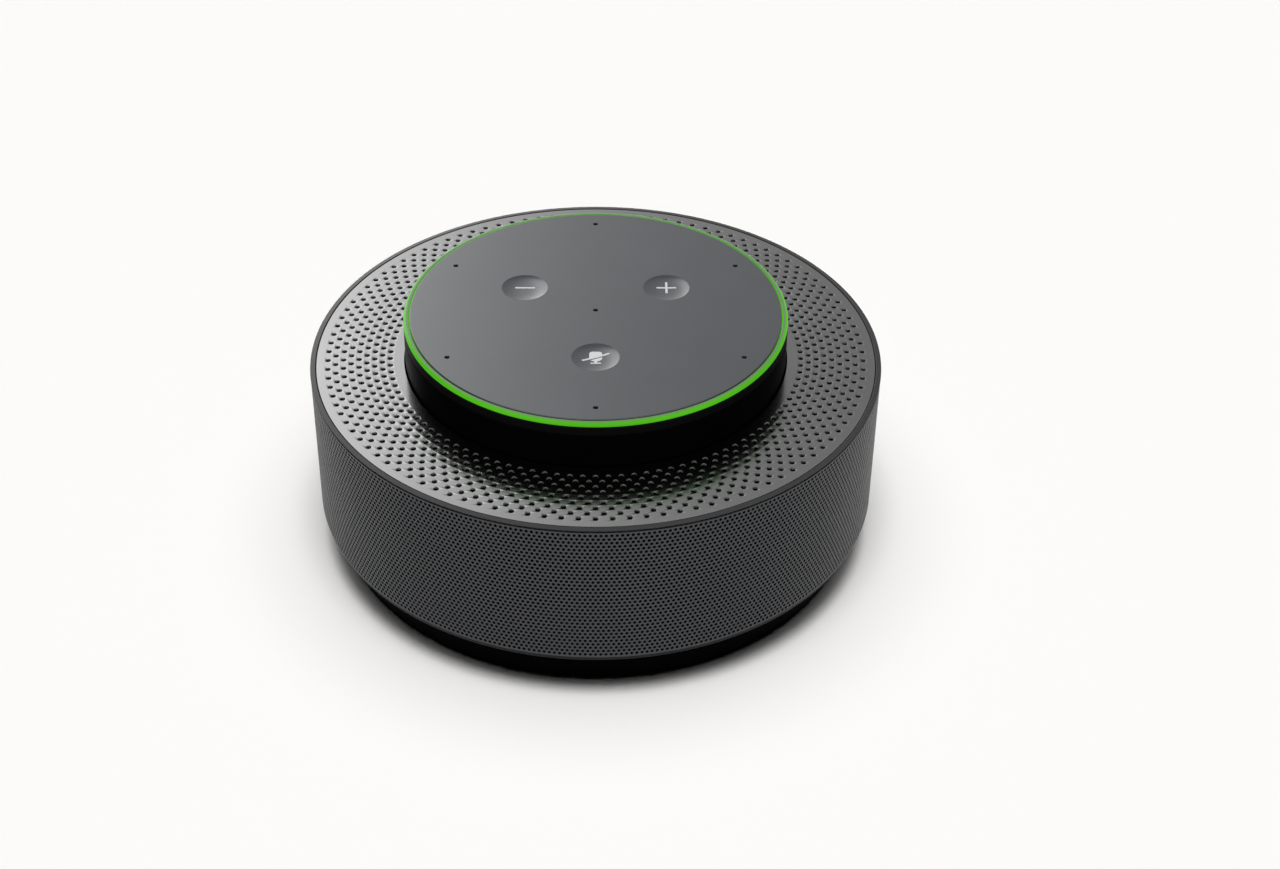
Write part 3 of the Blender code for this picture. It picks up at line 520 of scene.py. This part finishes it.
def lit_guide(name, top, depth):
    """Translucent ring lit from below: pale on top, where that pale colour is a painted reflection of the
    bright studio, vivid on its outer slope, brighter over its lamps.
    """
    material, shader = blank(name, (0.05, 0.28, 0.01), 0.30, 0.0, 0.15)
    tree = material.node_tree
    x, y, z = parts_of(tree, "Object")
    slope = ramp(tree, z, top, top - depth)
    # painted reflection: the base colour is a pale green-grey on the ring's top and deep green down its
    # outer slope
    base = gradient(tree, slope, (0.12, 0.17, 0.10), (0.02, 0.10, 0.004))
    glow = gradient(tree, slope, (0.018, 0.06, 0.01), (0.055, 0.36, 0.002))
    wave = maths(tree, "COSINE", maths(tree, "MULTIPLY", maths(tree, "ARCTAN2", y, x), float(RING_LAMPS)))
    tree.links.new(base, shader.inputs["Base Color"])
    tree.links.new(glow, shader.inputs["Emission Color"])
    tree.links.new(maths(tree, "MULTIPLY_ADD", wave, 0.06, 1.0), shader.inputs["Emission Strength"])
    return material


LOOKS = {
    "disc": moulded("disc_satin", (0.044, 0.047, 0.053), 0.17, 0.72),
    "key": moulded("key_satin", (0.044, 0.047, 0.053), 0.18, 0.72),
    "print": moulded("white_print", (0.56, 0.57, 0.58), 0.55),
    "ring": lit_guide("lit_green", RING_TOP, 0.06 * MM),
    "lip": moulded("lip_black", (0.003, 0.003, 0.0032), 0.40, 0.05),
    "neck": moulded("neck_black", (0.0006, 0.0006, 0.0007), 0.40, 0.02, 5000.0, 0.001 * MM),
    "deck": punched_metal("deck_satin_metal", (0.21, 0.21, 0.211), 0.18, (0.56, 0.56, 0.56)),
    "rim": moulded("rim_grey", (0.035, 0.035, 0.036), 0.34, 0.20),
    "side": metal("side_mesh_metal", (0.064, 0.066, 0.070), 0.42),
    "trim": moulded("trim_grey", (0.010, 0.010, 0.0105), 0.42, 0.15),
    "base": moulded("base_black", (0.0006, 0.0006, 0.0007), 0.60, 0.003, 6000.0, 0.008 * MM),
    "foot": moulded("foot_rubber", (0.012, 0.012, 0.012), 0.85, 0.3, 4000.0, 0.01 * MM),
    "deck_cloth": cloth("deck_cloth_dark", (0.012, 0.012, 0.012)),
    "black_cloth": cloth("black_cloth", (0.0015, 0.0015, 0.0015)),
    "frame": moulded("frame_black", (0.02, 0.02, 0.021), 0.55),
    "box": moulded("box_black", (0.025, 0.025, 0.027), 0.50),
    "silicone": moulded("silicone_grey", (0.16, 0.16, 0.17), 0.80, 0.4, 3000.0),
    "board": circuit_board("board_green"),
    "can": metal("can_nickel", (0.72, 0.71, 0.67), 0.30),
    "switch": moulded("switch_black", (0.03, 0.03, 0.03), 0.45),
    "plunger": moulded("plunger_white", (0.72, 0.72, 0.69), 0.40),
    "led": moulded("led_white", (0.80, 0.80, 0.66), 0.35),
    "screw": metal("screw_steel", (0.56, 0.56, 0.57), 0.30),
    "basket": metal("basket_black", (0.05, 0.05, 0.055), 0.42),
    "motor": metal("motor_zinc", (0.52, 0.52, 0.50), 0.35),
    "magnet": metal("magnet_nickel", (0.62, 0.62, 0.60), 0.20),
    "paper": moulded("cone_paper", (0.03, 0.03, 0.03), 0.85, 0.3, 2500.0, 0.03 * MM),
    "cap": moulded("dust_cap_black", (0.02, 0.02, 0.02), 0.40),
    "roll": moulded("surround_rubber", (0.015, 0.015, 0.015), 0.70, 0.4),
    "spider": cloth("spider_cloth", (0.55, 0.36, 0.12)),
    "coil": metal("coil_copper", (0.80, 0.38, 0.20), 0.30, 4000.0, 0.02 * MM, (0.02, 0.02, 1.0)),
    "ribbon": moulded("ribbon_film", (0.62, 0.27, 0.06), 0.35),
}

CARRIED = {
    "side_cloth": "black_cloth", "deck_cloth": "deck_cloth", "grille_cage": "frame", "speaker_box": "box",
    "baffle_plate": "box", "mic_gasket": "silicone", "mic_board": "board", "main_board": "board",
    "driver_basket": "basket", "driver_pot": "motor", "driver_pole_cap": "motor", "driver_magnet": "magnet",
    "voice_coil": "coil", "speaker_cone": "paper", "dust_cap": "cap", "cone_surround": "roll",
    "coil_spider": "spider", "ribbon_cable": "ribbon",
}
CARRIED_GROUPS = {
    "microphone_": "can", "ring_led_": "led", "switch_": "switch", "plunger_": "plunger",
    "base_screw_": "screw", "driver_screw_": "screw", "pod_screw_": "screw",
}


def finish_carried_nodes():
    """Give every solid that stays visible its procedural material."""
    for name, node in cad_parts.items():
        kind = CARRIED.get(name)
        for start, group in CARRIED_GROUPS.items():
            if name.startswith(start):
                kind = group
        if kind:
            for material_slot in node.material_slots:
                material_slot.material = LOOKS[kind]


# ---------------------------------------------------------------- pod

def microphone_places():
    return [Vector((0.0, 0.0, 0.0))] + [polar(MIC_R, angle) for angle in MIC_ANGLES]


def make_disc():
    low = TOP_Z - DISC_T
    profile = eased([(0.0, TOP_Z, 0.0), (DISC_R, TOP_Z, 0.22 * MM), (DISC_R, low, 0.1 * MM),
                     (0.0, low, 0.0)])
    disc = to_object("disc_cover", turned(profile))
    boss_r, bore_top = 2.4 * MM, low - 0.3 * MM
    screws = [polar(POD_SCREW_R, angle) for angle in POD_SCREWS]
    carve(disc, "UNION", *(pin(boss_r, DISC_LOW, low + 0.5 * MM, spot) for spot in screws))
    carve(disc, "DIFFERENCE", *(pin(POD_BORE_R, DISC_LOW - MM, bore_top, spot) for spot in screws))
    keys = [polar(KEY_CIRCLE_R, angle) for angle in KEY_ANGLES.values()]
    holes = [pin(KEY_R + KEY_GAP, low - MM, TOP_Z + MM, spot, MEDIUM) for spot in keys]
    flare = 0.12 * MM
    throat = [(0.0, TOP_Z + flare), (MIC_HOLE_R + 2 * flare, TOP_Z + flare), (MIC_HOLE_R, TOP_Z - flare),
              (MIC_HOLE_R, low - MM), (0.0, low - MM)]
    holes += [turned(throat, SMALL, place) for place in microphone_places()]
    carve(disc, "DIFFERENCE", *holes)
    settle(disc, "housing", "top_plastic", LOOKS["disc"], "top_disc")


def dish_drop(x, y):
    """How far the key's hollow face lies under the disc, at a place from the key's own centre."""
    return KEY_DISH * (1.0 - (math.hypot(x, y) / KEY_R) ** KEY_DISH_POWER)


def make_key(name, angle):
    node = f"key_{name}"
    low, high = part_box(node)
    flange_r = (high.x - low.x) / 2
    centre = polar(KEY_CIRCLE_R, angle)
    flange_low, stem_r, steps = UNDER_DISC - 0.7 * MM, 1.5 * MM, 24
    radii = [KEY_R * step / steps for step in range(steps + 1)]
    face = [(radius, TOP_Z - dish_drop(radius, 0.0)) for radius in radii]
    profile = face + [(KEY_R, UNDER_DISC), (flange_r, UNDER_DISC), (flange_r, flange_low),
                      (stem_r, flange_low), (stem_r, low.z), (0.0, low.z)]
    cap = to_object(f"{name}_cap", turned(profile, MEDIUM, centre))
    settle(cap, f"{node}_body", "key_plastic", LOOKS["key"], node)


def bar(length, width, degrees=0.0, centre=(0.0, 0.0)):
    """Outline of a straight stroke, in the key's own plane."""
    along = Vector((math.cos(math.radians(degrees)), math.sin(math.radians(degrees))))
    across = Vector((-along.y, along.x))
    middle = Vector(centre)
    signs = ((-1, -1), (1, -1), (1, 1), (-1, 1))
    return [middle + along * (a * length / 2) + across * (b * width / 2) for a, b in signs]


def capsule(width, low, high, low_ease, high_ease, steps=6):
    """Outline of an upright rounded box, symmetric about x = 0."""
    half = width / 2
    corners = ((half, low, low_ease, -90), (half, high, high_ease, 0),
               (-half, high, high_ease, 90), (-half, low, low_ease, 180))
    points = []
    for x, y, ease, start in corners:
        centre = Vector((x - math.copysign(ease, x), y + (ease if y == low else -ease)))
        for step in range(steps + 1):
            angle = math.radians(start + 90 * step / steps)
            points.append(centre + Vector((math.cos(angle), math.sin(angle))) * ease)
    return points


def clipped(outline, point, normal):
    """The part of a convex outline on the side of a line that normal points to."""
    kept = []
    for index, here in enumerate(outline):
        after = outline[(index + 1) % len(outline)]
        a, b = (here - point).dot(normal), (after - point).dot(normal)
        if a >= 0:
            kept.append(here)
        if a * b < 0:
            kept.append(here.lerp(after, a / (a - b)))
    return kept


def ordered(form):
    """Vertices and faces of a bmesh, in an order that depends only on its shape."""
    order = {vert: index for index, vert in enumerate(sorted(form.verts, key=lambda vert: vert.co[:]))}
    faces = []
    for face in form.faces:
        loop = [order[vert] for vert in face.verts]
        first = loop.index(min(loop))
        faces.append((*loop[first:], *loop[:first]))
    return [vert.co[:] for vert in order], sorted(faces)


def inlay(outline, centre):
    """A thin plate over an outline, cut into cells so that it follows the key's hollow face."""
    proud, sunk, lift = 0.02 * MM, 0.05 * MM, Vector((0.0, 0.6 * MM))
    cell, cells = 0.4 * MM, 10
    form = bmesh.new()
    form.faces.new([form.verts.new((*(point + lift), 0.0)) for point in outline])
    for direction in ((1, 0, 0), (0, 1, 0)):
        for step in range(-cells, cells + 1):
            geometry = form.verts[:] + form.edges[:] + form.faces[:]
            bmesh.ops.bisect_plane(form, geom=geometry, dist=1e-8, plane_co=Vector(direction) * step * cell,
                                   plane_no=direction)
    pushed = bmesh.ops.extrude_face_region(form, geom=form.faces[:])["geom"]
    raised = {item for item in pushed if isinstance(item, bmesh.types.BMVert)}
    for vert in form.verts:
        offset = proud if vert in raised else -sunk
        x, y = vert.co.x, vert.co.y
        vert.co = centre + Vector((x, y, TOP_Z - dish_drop(x, y) + offset))
    shape = ordered(form)
    form.free()
    return shape


def make_symbol(name, key, outlines):
    """White strokes let into a key."""
    centre = polar(KEY_CIRCLE_R, KEY_ANGLES[key])
    symbol = to_object(name, together(*(inlay(outline, centre) for outline in outlines)))
    settle(symbol, f"key_{key}_body", "plunger_plastic", LOOKS["print"])


def make_symbols():
    stroke, length = 0.6 * MM, 5.1 * MM
    arm = (length - stroke) / 2
    arms = [bar(arm, stroke, 90, (0.0, side * (stroke + arm) / 2)) for side in (-1, 1)]
    make_symbol("symbol_plus", "volume_up", [bar(length, stroke), *arms])
    make_symbol("symbol_minus", "volume_down", [bar(length, stroke)])

    slope, slash, gap = 23.7, 0.6 * MM, 0.36 * MM
    up = Vector((-math.sin(math.radians(slope)), math.cos(math.radians(slope))))
    body = capsule(3.2 * MM, -1.75 * MM, 2.35 * MM, 1.3 * MM, 0.9 * MM)
    upper = clipped(body, up * slash / 2, up)
    lower = clipped(body, -up * (slash / 2 + gap), -up)
    stem = bar(0.62 * MM, 0.75 * MM, 90, (0.0, -2.06 * MM))
    foot = bar(2.6 * MM, 0.5 * MM, 0, (0.0, -2.62 * MM))
    make_symbol("symbol_mic_muted", "mic_mute",
                [upper, lower, stem, foot, bar(7.4 * MM, slash, slope)])


def make_ring():
    stem_r, web_in, low = 48.3 * MM, 45.0 * MM, RING_TOP - MM
    inner_r, slope_steps = 47.8 * MM, 8
    profile = eased([(RING_R, RING_TOP, 0.85 * MM), (RING_R, low, 0.1 * MM), (stem_r, low, 0.0),
                     (stem_r, RING_LOW, 0.1 * MM), (web_in, RING_LOW, 0.1 * MM),
                     (web_in, UNDER_DISC, 0.1 * MM), (inner_r, UNDER_DISC, 0.0),
                     (inner_r, RING_TOP, 0.1 * MM)], slope_steps)
    settle(to_object("lit_ring", turned(profile)), "housing", "light_guide", LOOKS["ring"], "light_ring")


def make_bezel():
    wall_r, shelf_r, shelf_top = BEZEL_R - 0.5 * MM, 47.6 * MM, BEZEL_LOW + 0.6 * MM
    profile = eased([(BEZEL_R, BEZEL_TOP, 0.12 * MM), (BEZEL_R, BEZEL_LOW, 0.15 * MM),
                     (shelf_r, BEZEL_LOW, 0.0), (shelf_r, shelf_top, 0.0), (wall_r, shelf_top, 0.0),
                     (wall_r, BEZEL_TOP, 0.1 * MM)])
    lip = to_object("bezel_lip", turned(profile))
    settle(lip, "housing", "pod_gloss_plastic", LOOKS["lip"], "pod_bezel")


def make_pod_shell():
    """Neck and foot flange of the pod, with screw bosses and a slot for the ribbon cable."""
    wall_r, floor, flange_top, boss_r, boss_top = 47.4 * MM, 51.9 * MM, 50.7 * MM, 3.2 * MM, 58.3 * MM
    profile = eased([(0.0, floor, 0.0), (wall_r, floor, 0.5 * MM), (wall_r, POD_TOP, 0.1 * MM),
                     (POD_R, POD_TOP, 0.15 * MM), (POD_R, flange_top, 0.1 * MM),
                     (POD_FLANGE_R, flange_top, 0.1 * MM), (POD_FLANGE_R, POD_LOW, 0.1 * MM),
                     (0.0, POD_LOW, 0.0)])
    shell = to_object("pod_shell", turned(profile))
    screws = [polar(POD_SCREW_R, angle) for angle in POD_SCREWS]
    carve(shell, "UNION", *(pin(boss_r, POD_LOW + MM, boss_top, spot) for spot in screws))
    slot_in, slot_out, slot_half, slot_angle = 39.8 * MM, 42.2 * MM, 4.7 * MM, 45
    slot = block((slot_in, -slot_half, POD_LOW - MM), (slot_out, slot_half, floor + MM), slot_angle)
    bores = [pin(POD_BORE_R, POD_LOW - MM, boss_top + MM, spot) for spot in screws]
    carve(shell, "DIFFERENCE", *bores, slot)
    settle(shell, "housing", "pod_gloss_plastic", LOOKS["neck"], "pod_housing")


# ---------------------------------------------------------------- body

def make_deck():
    """Perforated annulus: nine staggered rings of holes with broken edges."""
    inner, columns, rings = POD_R + 0.4 * MM, 108, 9
    first, pitch = 53.0 * MM, 2.0 * MM
    edges = [first - pitch / 2 + pitch * step for step in range(rings + 1)]
    lines = [inner, *edges, DECK_R]
    holes = [False] + [True] * rings + [False]

    def place(angle, radius, depth):
        return np.column_stack((radius * np.cos(angle), radius * np.sin(angle), DECK_Z - depth))

    deck = perforated("perforated_deck", place, lines, columns, holes, hole_r=0.69 * MM,
                      turn_r=lambda radius: radius, thickness=0.5 * MM, ease=0.06 * MM, along=6, across=2,
                      sector=(0, columns), flip=True)
    settle(deck, "housing", "deck_metal", LOOKS["deck"], "deck_grille")


def make_side():
    """Perforated cylinder in four lengths that meet edge to edge."""
    columns, rows, lengths = 368, 35, 4
    first, pitch = 13.22 * MM, 1.088 * MM
    edges = [first + pitch * step for step in range(rows + 1)]
    lines = [GRILLE_LOW, *edges, GRILLE_HIGH]
    holes = [False] + [True] * rows + [False]

    def place(angle, height, depth):
        radius = GRILLE_R - depth
        return np.column_stack((radius * np.cos(angle), radius * np.sin(angle), height))

    for number in range(lengths):
        sector = (columns * number // lengths, columns * (number + 1) // lengths)
        side = perforated(f"side_mesh_{number + 1}", place, lines, columns, holes, hole_r=0.43 * MM,
                          turn_r=lambda height: np.full_like(height, GRILLE_R), thickness=0.2 * MM,
                          ease=0.0, along=2, across=1, sector=sector, flip=False)
        settle(side, "housing", "side_mesh_metal", LOOKS["side"], "side_grille")


def make_rim():
    lip, leg_r, inner_r, fall = DECK_Z - 0.2 * MM, 72.8 * MM, 72.2 * MM, 0.18 * MM
    profile = eased([(RIM_R, RIM_TOP - fall, 0.05 * MM), (RIM_R - 0.1 * MM, lip, 0.05 * MM),
                     (leg_r, lip - fall, 0.0), (leg_r, RIM_LOW, 0.1 * MM), (inner_r, RIM_LOW, 0.1 * MM),
                     (inner_r, RIM_TOP, 0.12 * MM)])
    settle(to_object("rim_trim", turned(profile)), "housing", "rim_plastic", LOOKS["rim"], "rim_ring")


def make_lower_trim():
    inner = 69.0 * MM
    profile = eased([(TRIM_R, TRIM_TOP, 0.3 * MM), (TRIM_R, TRIM_LOW, 0.15 * MM),
                     (inner, TRIM_LOW, 0.1 * MM), (inner, TRIM_TOP, 0.1 * MM)])
    trim = to_object("lower_trim", turned(profile))
    settle(trim, "housing", "trim_plastic", LOOKS["trim"], "base_trim_ring")


# ---------------------------------------------------------------- base

def make_base():
    """Tapered pan with rounded edges, screw bosses, the plug's pocket and the foot's groove."""
    top_z, bottom_r, floor, wall = 11.2 * MM, 68.0 * MM, 3.0 * MM, 2.0 * MM
    groove_in, groove_out, groove_top = 58.2 * MM, 66.8 * MM, 1.6 * MM
    taper = (BASE_TOP_R - bottom_r) / (top_z - BASE_Z)
    floor_r = bottom_r + taper * (floor - BASE_Z) - wall
    profile = eased([(0.0, floor, 0.0), (floor_r, floor, 0.8 * MM), (BASE_TOP_R - wall, top_z, 0.2 * MM),
                     (BASE_TOP_R, top_z, 0.5 * MM), (bottom_r, BASE_Z, 0.5 * MM),
                     (groove_out, BASE_Z, 0.1 * MM), (groove_out, groove_top, 0.1 * MM),
                     (groove_in, groove_top, 0.1 * MM), (groove_in, BASE_Z, 0.1 * MM), (0.0, BASE_Z, 0.0)])
    shell = to_object("base_shell", turned(profile))

    boss_r, pad_r, pad_top, stand = 3.2 * MM, 3.0 * MM, 3.6 * MM, 2.0 * MM
    screws = [polar(BASE_SCREW_R, angle) for angle in BASE_SCREWS]
    bosses = [pin(boss_r, stand, BOSS_TOP, spot) for spot in screws]
    pads = [pin(pad_r, stand, pad_top, polar(BOARD_PAD_R, angle)) for angle in BOARD_PADS]
    carve(shell, "UNION", *bosses, *pads)

    half, low, high, back, skin = 7.0 * MM, 3.4 * MM, 10.2 * MM, 65.2 * MM, 1.2 * MM
    lid, mouth_y = 0.9 * MM, 67.6 * MM
    carve(shell, "UNION", block((-half - skin, back - skin, stand), (half + skin, mouth_y, high + lid)))
    shank_r, head_r, head_z, over = 1.3 * MM, 2.5 * MM, low, 20 * MM
    stepped = [(0.0, over), (shank_r, over), (shank_r, head_z), (head_r, head_z), (head_r, 0.0), (0.0, 0.0)]
    bores = [turned(stepped, SMALL, spot) for spot in screws]
    pocket = slot_prism(2 * half, high - low, (low + high) / 2, back, RIM_R, 1.0 * MM, 6)
    carve(shell, "DIFFERENCE", *bores, pocket)

    socket_low, socket_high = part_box("usb_c_socket")
    ease = 0.3 * MM
    mouth = slot_prism(socket_high.x - socket_low.x + 2 * ease, socket_high.z - socket_low.z + 2 * ease,
                       (socket_low.z + socket_high.z) / 2, back - 3 * MM, back + MM)
    carve(shell, "DIFFERENCE", mouth)
    settle(shell, "housing", "base_plastic", LOOKS["base"], "base_cover")


def slot_prism(width, height, middle, start, end, ease=None, steps=12):
    """A prism along Y with a rounded outline, round-ended unless ease is given."""
    radius = ease or height / 2
    outline = []
    corners = ((1, -1, -90), (1, 1, 0), (-1, 1, 90), (-1, -1, 180))
    for x_sign, z_sign, first in corners:
        centre = (x_sign * (width / 2 - radius), middle + z_sign * (height / 2 - radius))
        for step in range(steps + 1):
            angle = math.radians(first + 90 * step / steps)
            outline.append((centre[0] + radius * math.cos(angle), centre[1] + radius * math.sin(angle)))
    outline = [point for index, point in enumerate(outline)
               if math.dist(point, outline[index - 1]) > 1e-7]
    count = len(outline)
    verts = [(x, y, z) for y in (start, end) for x, z in outline]
    faces = [tuple(range(count)), tuple(range(2 * count - 1, count - 1, -1))]
    faces += [(i, i + count, (i + 1) % count + count, (i + 1) % count) for i in range(count)]
    return verts, faces


def make_foot():
    inner = 58.5 * MM
    profile = eased([(FOOT_R, FOOT_TOP, 0.1 * MM), (FOOT_R, FOOT_LOW, 0.3 * MM),
                     (inner, FOOT_LOW, 0.3 * MM), (inner, FOOT_TOP, 0.1 * MM)])
    settle(to_object("foot_pad", turned(profile)), "housing", "foot_rubber", LOOKS["foot"], "foot_ring")


def make_socket():
    """USB-C receptacle: drawn shell, tongue and its two rows of contacts."""
    low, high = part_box("usb_c_socket")
    width, height, middle = high.x - low.x, high.z - low.z, (low.z + high.z) / 2
    wall, mouth_y = 0.3 * MM, low.y + 1.1 * MM
    shell = to_object("usb_shell", slot_prism(width, height, middle, low.y, high.y))
    hollow = slot_prism(width - 2 * wall, height - 2 * wall, middle, mouth_y, high.y + MM)
    carve(shell, "DIFFERENCE", hollow)
    settle(shell, "housing", "socket_metal", LOOKS["can"], "usb_c_socket")

    tongue_t, tongue_w, front = 0.7 * MM, 6.7 * MM, high.y - 0.9 * MM
    tongue = slot_prism(tongue_w, tongue_t, middle, low.y + 1.15 * MM, front, 0.15 * MM, 3)
    settle(to_object("usb_tongue", tongue), "housing", "socket_metal", LOOKS["switch"])

    count, pitch, half, proud = 12, 0.5 * MM, 0.14 * MM, 0.03 * MM
    start, end = front - 3.2 * MM, front - 0.4 * MM
    contacts = []
    for side in (-1, 1):
        face = middle + side * tongue_t / 2
        for step in range(count):
            x = (step - (count - 1) / 2) * pitch
            contacts.append(block((x - half, start, face - proud), (x + half, end, face + proud)))
    settle(to_object("usb_contacts", together(*contacts)), "housing", "socket_metal", LOOKS["coil"])


# ---------------------------------------------------------------- studio

def make_floor():
    half = FLOOR_HALF
    mesh = bpy.data.meshes.new("studio_floor")
    corners = [(-half, -half, 0), (half, -half, 0), (half, half, 0), (-half, half, 0)]
    mesh.from_pydata(corners, [], [(0, 1, 2, 3)])
    material, _ = blank("floor_white", FLOOR_COLOUR, 0.9, 0.0, 0.0)
    mesh.materials.append(material)
    linked("studio_floor", mesh)


def make_lamps():
    """A soft light from a little in front and a wide one straight above, which leave a close shadow."""
    for name, (energy, spread, lean) in LAMPS.items():
        lamp = bpy.data.lights.new(name, "SUN")
        lamp.energy = energy
        lamp.angle = math.radians(spread)
        light = linked(name, lamp)
        light.rotation_euler = (math.radians(lean), 0.0, 0.0)
        light.visible_glossy = False


def make_sky():
    """What gloss and metal mirror: a bright panel behind that fades from left to right, dark above it, and
    soft light over the front."""
    world = bpy.data.worlds.new("studio")
    bpy.context.scene.world = world
    world.cycles_visibility.diffuse = False
    world.use_nodes = True
    tree = world.node_tree
    nodes, links = tree.nodes, tree.links
    x, y, _ = parts_of(tree, "Generated")
    growth = maths(tree, "EXPONENT", maths(tree, "MULTIPLY", x, -1.0 / SKY_FADE))
    panel = maths(tree, "ADD", maths(tree, "MULTIPLY", growth, SKY_MIDDLE), SKY_RIGHT)
    panel = maths(tree, "MINIMUM", panel, SKY_LEFT)
    over = mix(tree, ramp(tree, y, FRONT_STARTS, FRONT_FULL), SKY_OVER, SKY_FRONT)
    background = nodes["Background"]
    background.inputs["Color"].default_value = (1.0, 1.0, 1.0, 1.0)
    links.new(mix(tree, ramp(tree, y, PANEL_STARTS, PANEL_FULL), over, panel), background.inputs["Strength"])
    backdrop = nodes.new("ShaderNodeBackground")
    backdrop.inputs["Color"].default_value = (*BACKDROP, 1.0)
    pick = nodes.new("ShaderNodeMixShader")
    links.new(nodes.new("ShaderNodeLightPath").outputs["Is Camera Ray"], pick.inputs["Fac"])
    links.new(background.outputs["Background"], pick.inputs[1])
    links.new(backdrop.outputs["Background"], pick.inputs[2])
    links.new(pick.outputs["Shader"], nodes["World Output"].inputs["Surface"])


def make_camera():
    """The camera looks down at the front of the unit, which sits left of the middle of the view."""
    data = bpy.data.cameras.new("camera")
    data.sensor_width = CAMERA_SENSOR
    data.lens = CAMERA_LENS
    data.shift_x = CAMERA_SHIFT
    camera = linked("camera", data)
    camera.location = (0.0, -CAMERA_BACK, TOP_Z + CAMERA_UP)
    camera.rotation_euler = (math.radians(90 - CAMERA_PITCH), 0.0, 0.0)
    bpy.context.scene.camera = camera


def main():
    bpy.context.scene.view_settings.view_transform = "Standard"
    make_camera()
    make_sky()
    make_lamps()
    make_floor()
    finish_carried_nodes()
    make_disc()
    for name, angle in KEY_ANGLES.items():
        make_key(name, angle)
    make_symbols()
    make_ring()
    make_bezel()
    make_pod_shell()
    make_deck()
    make_side()
    make_rim()
    make_lower_trim()
    make_base()
    make_foot()
    make_socket()


main()
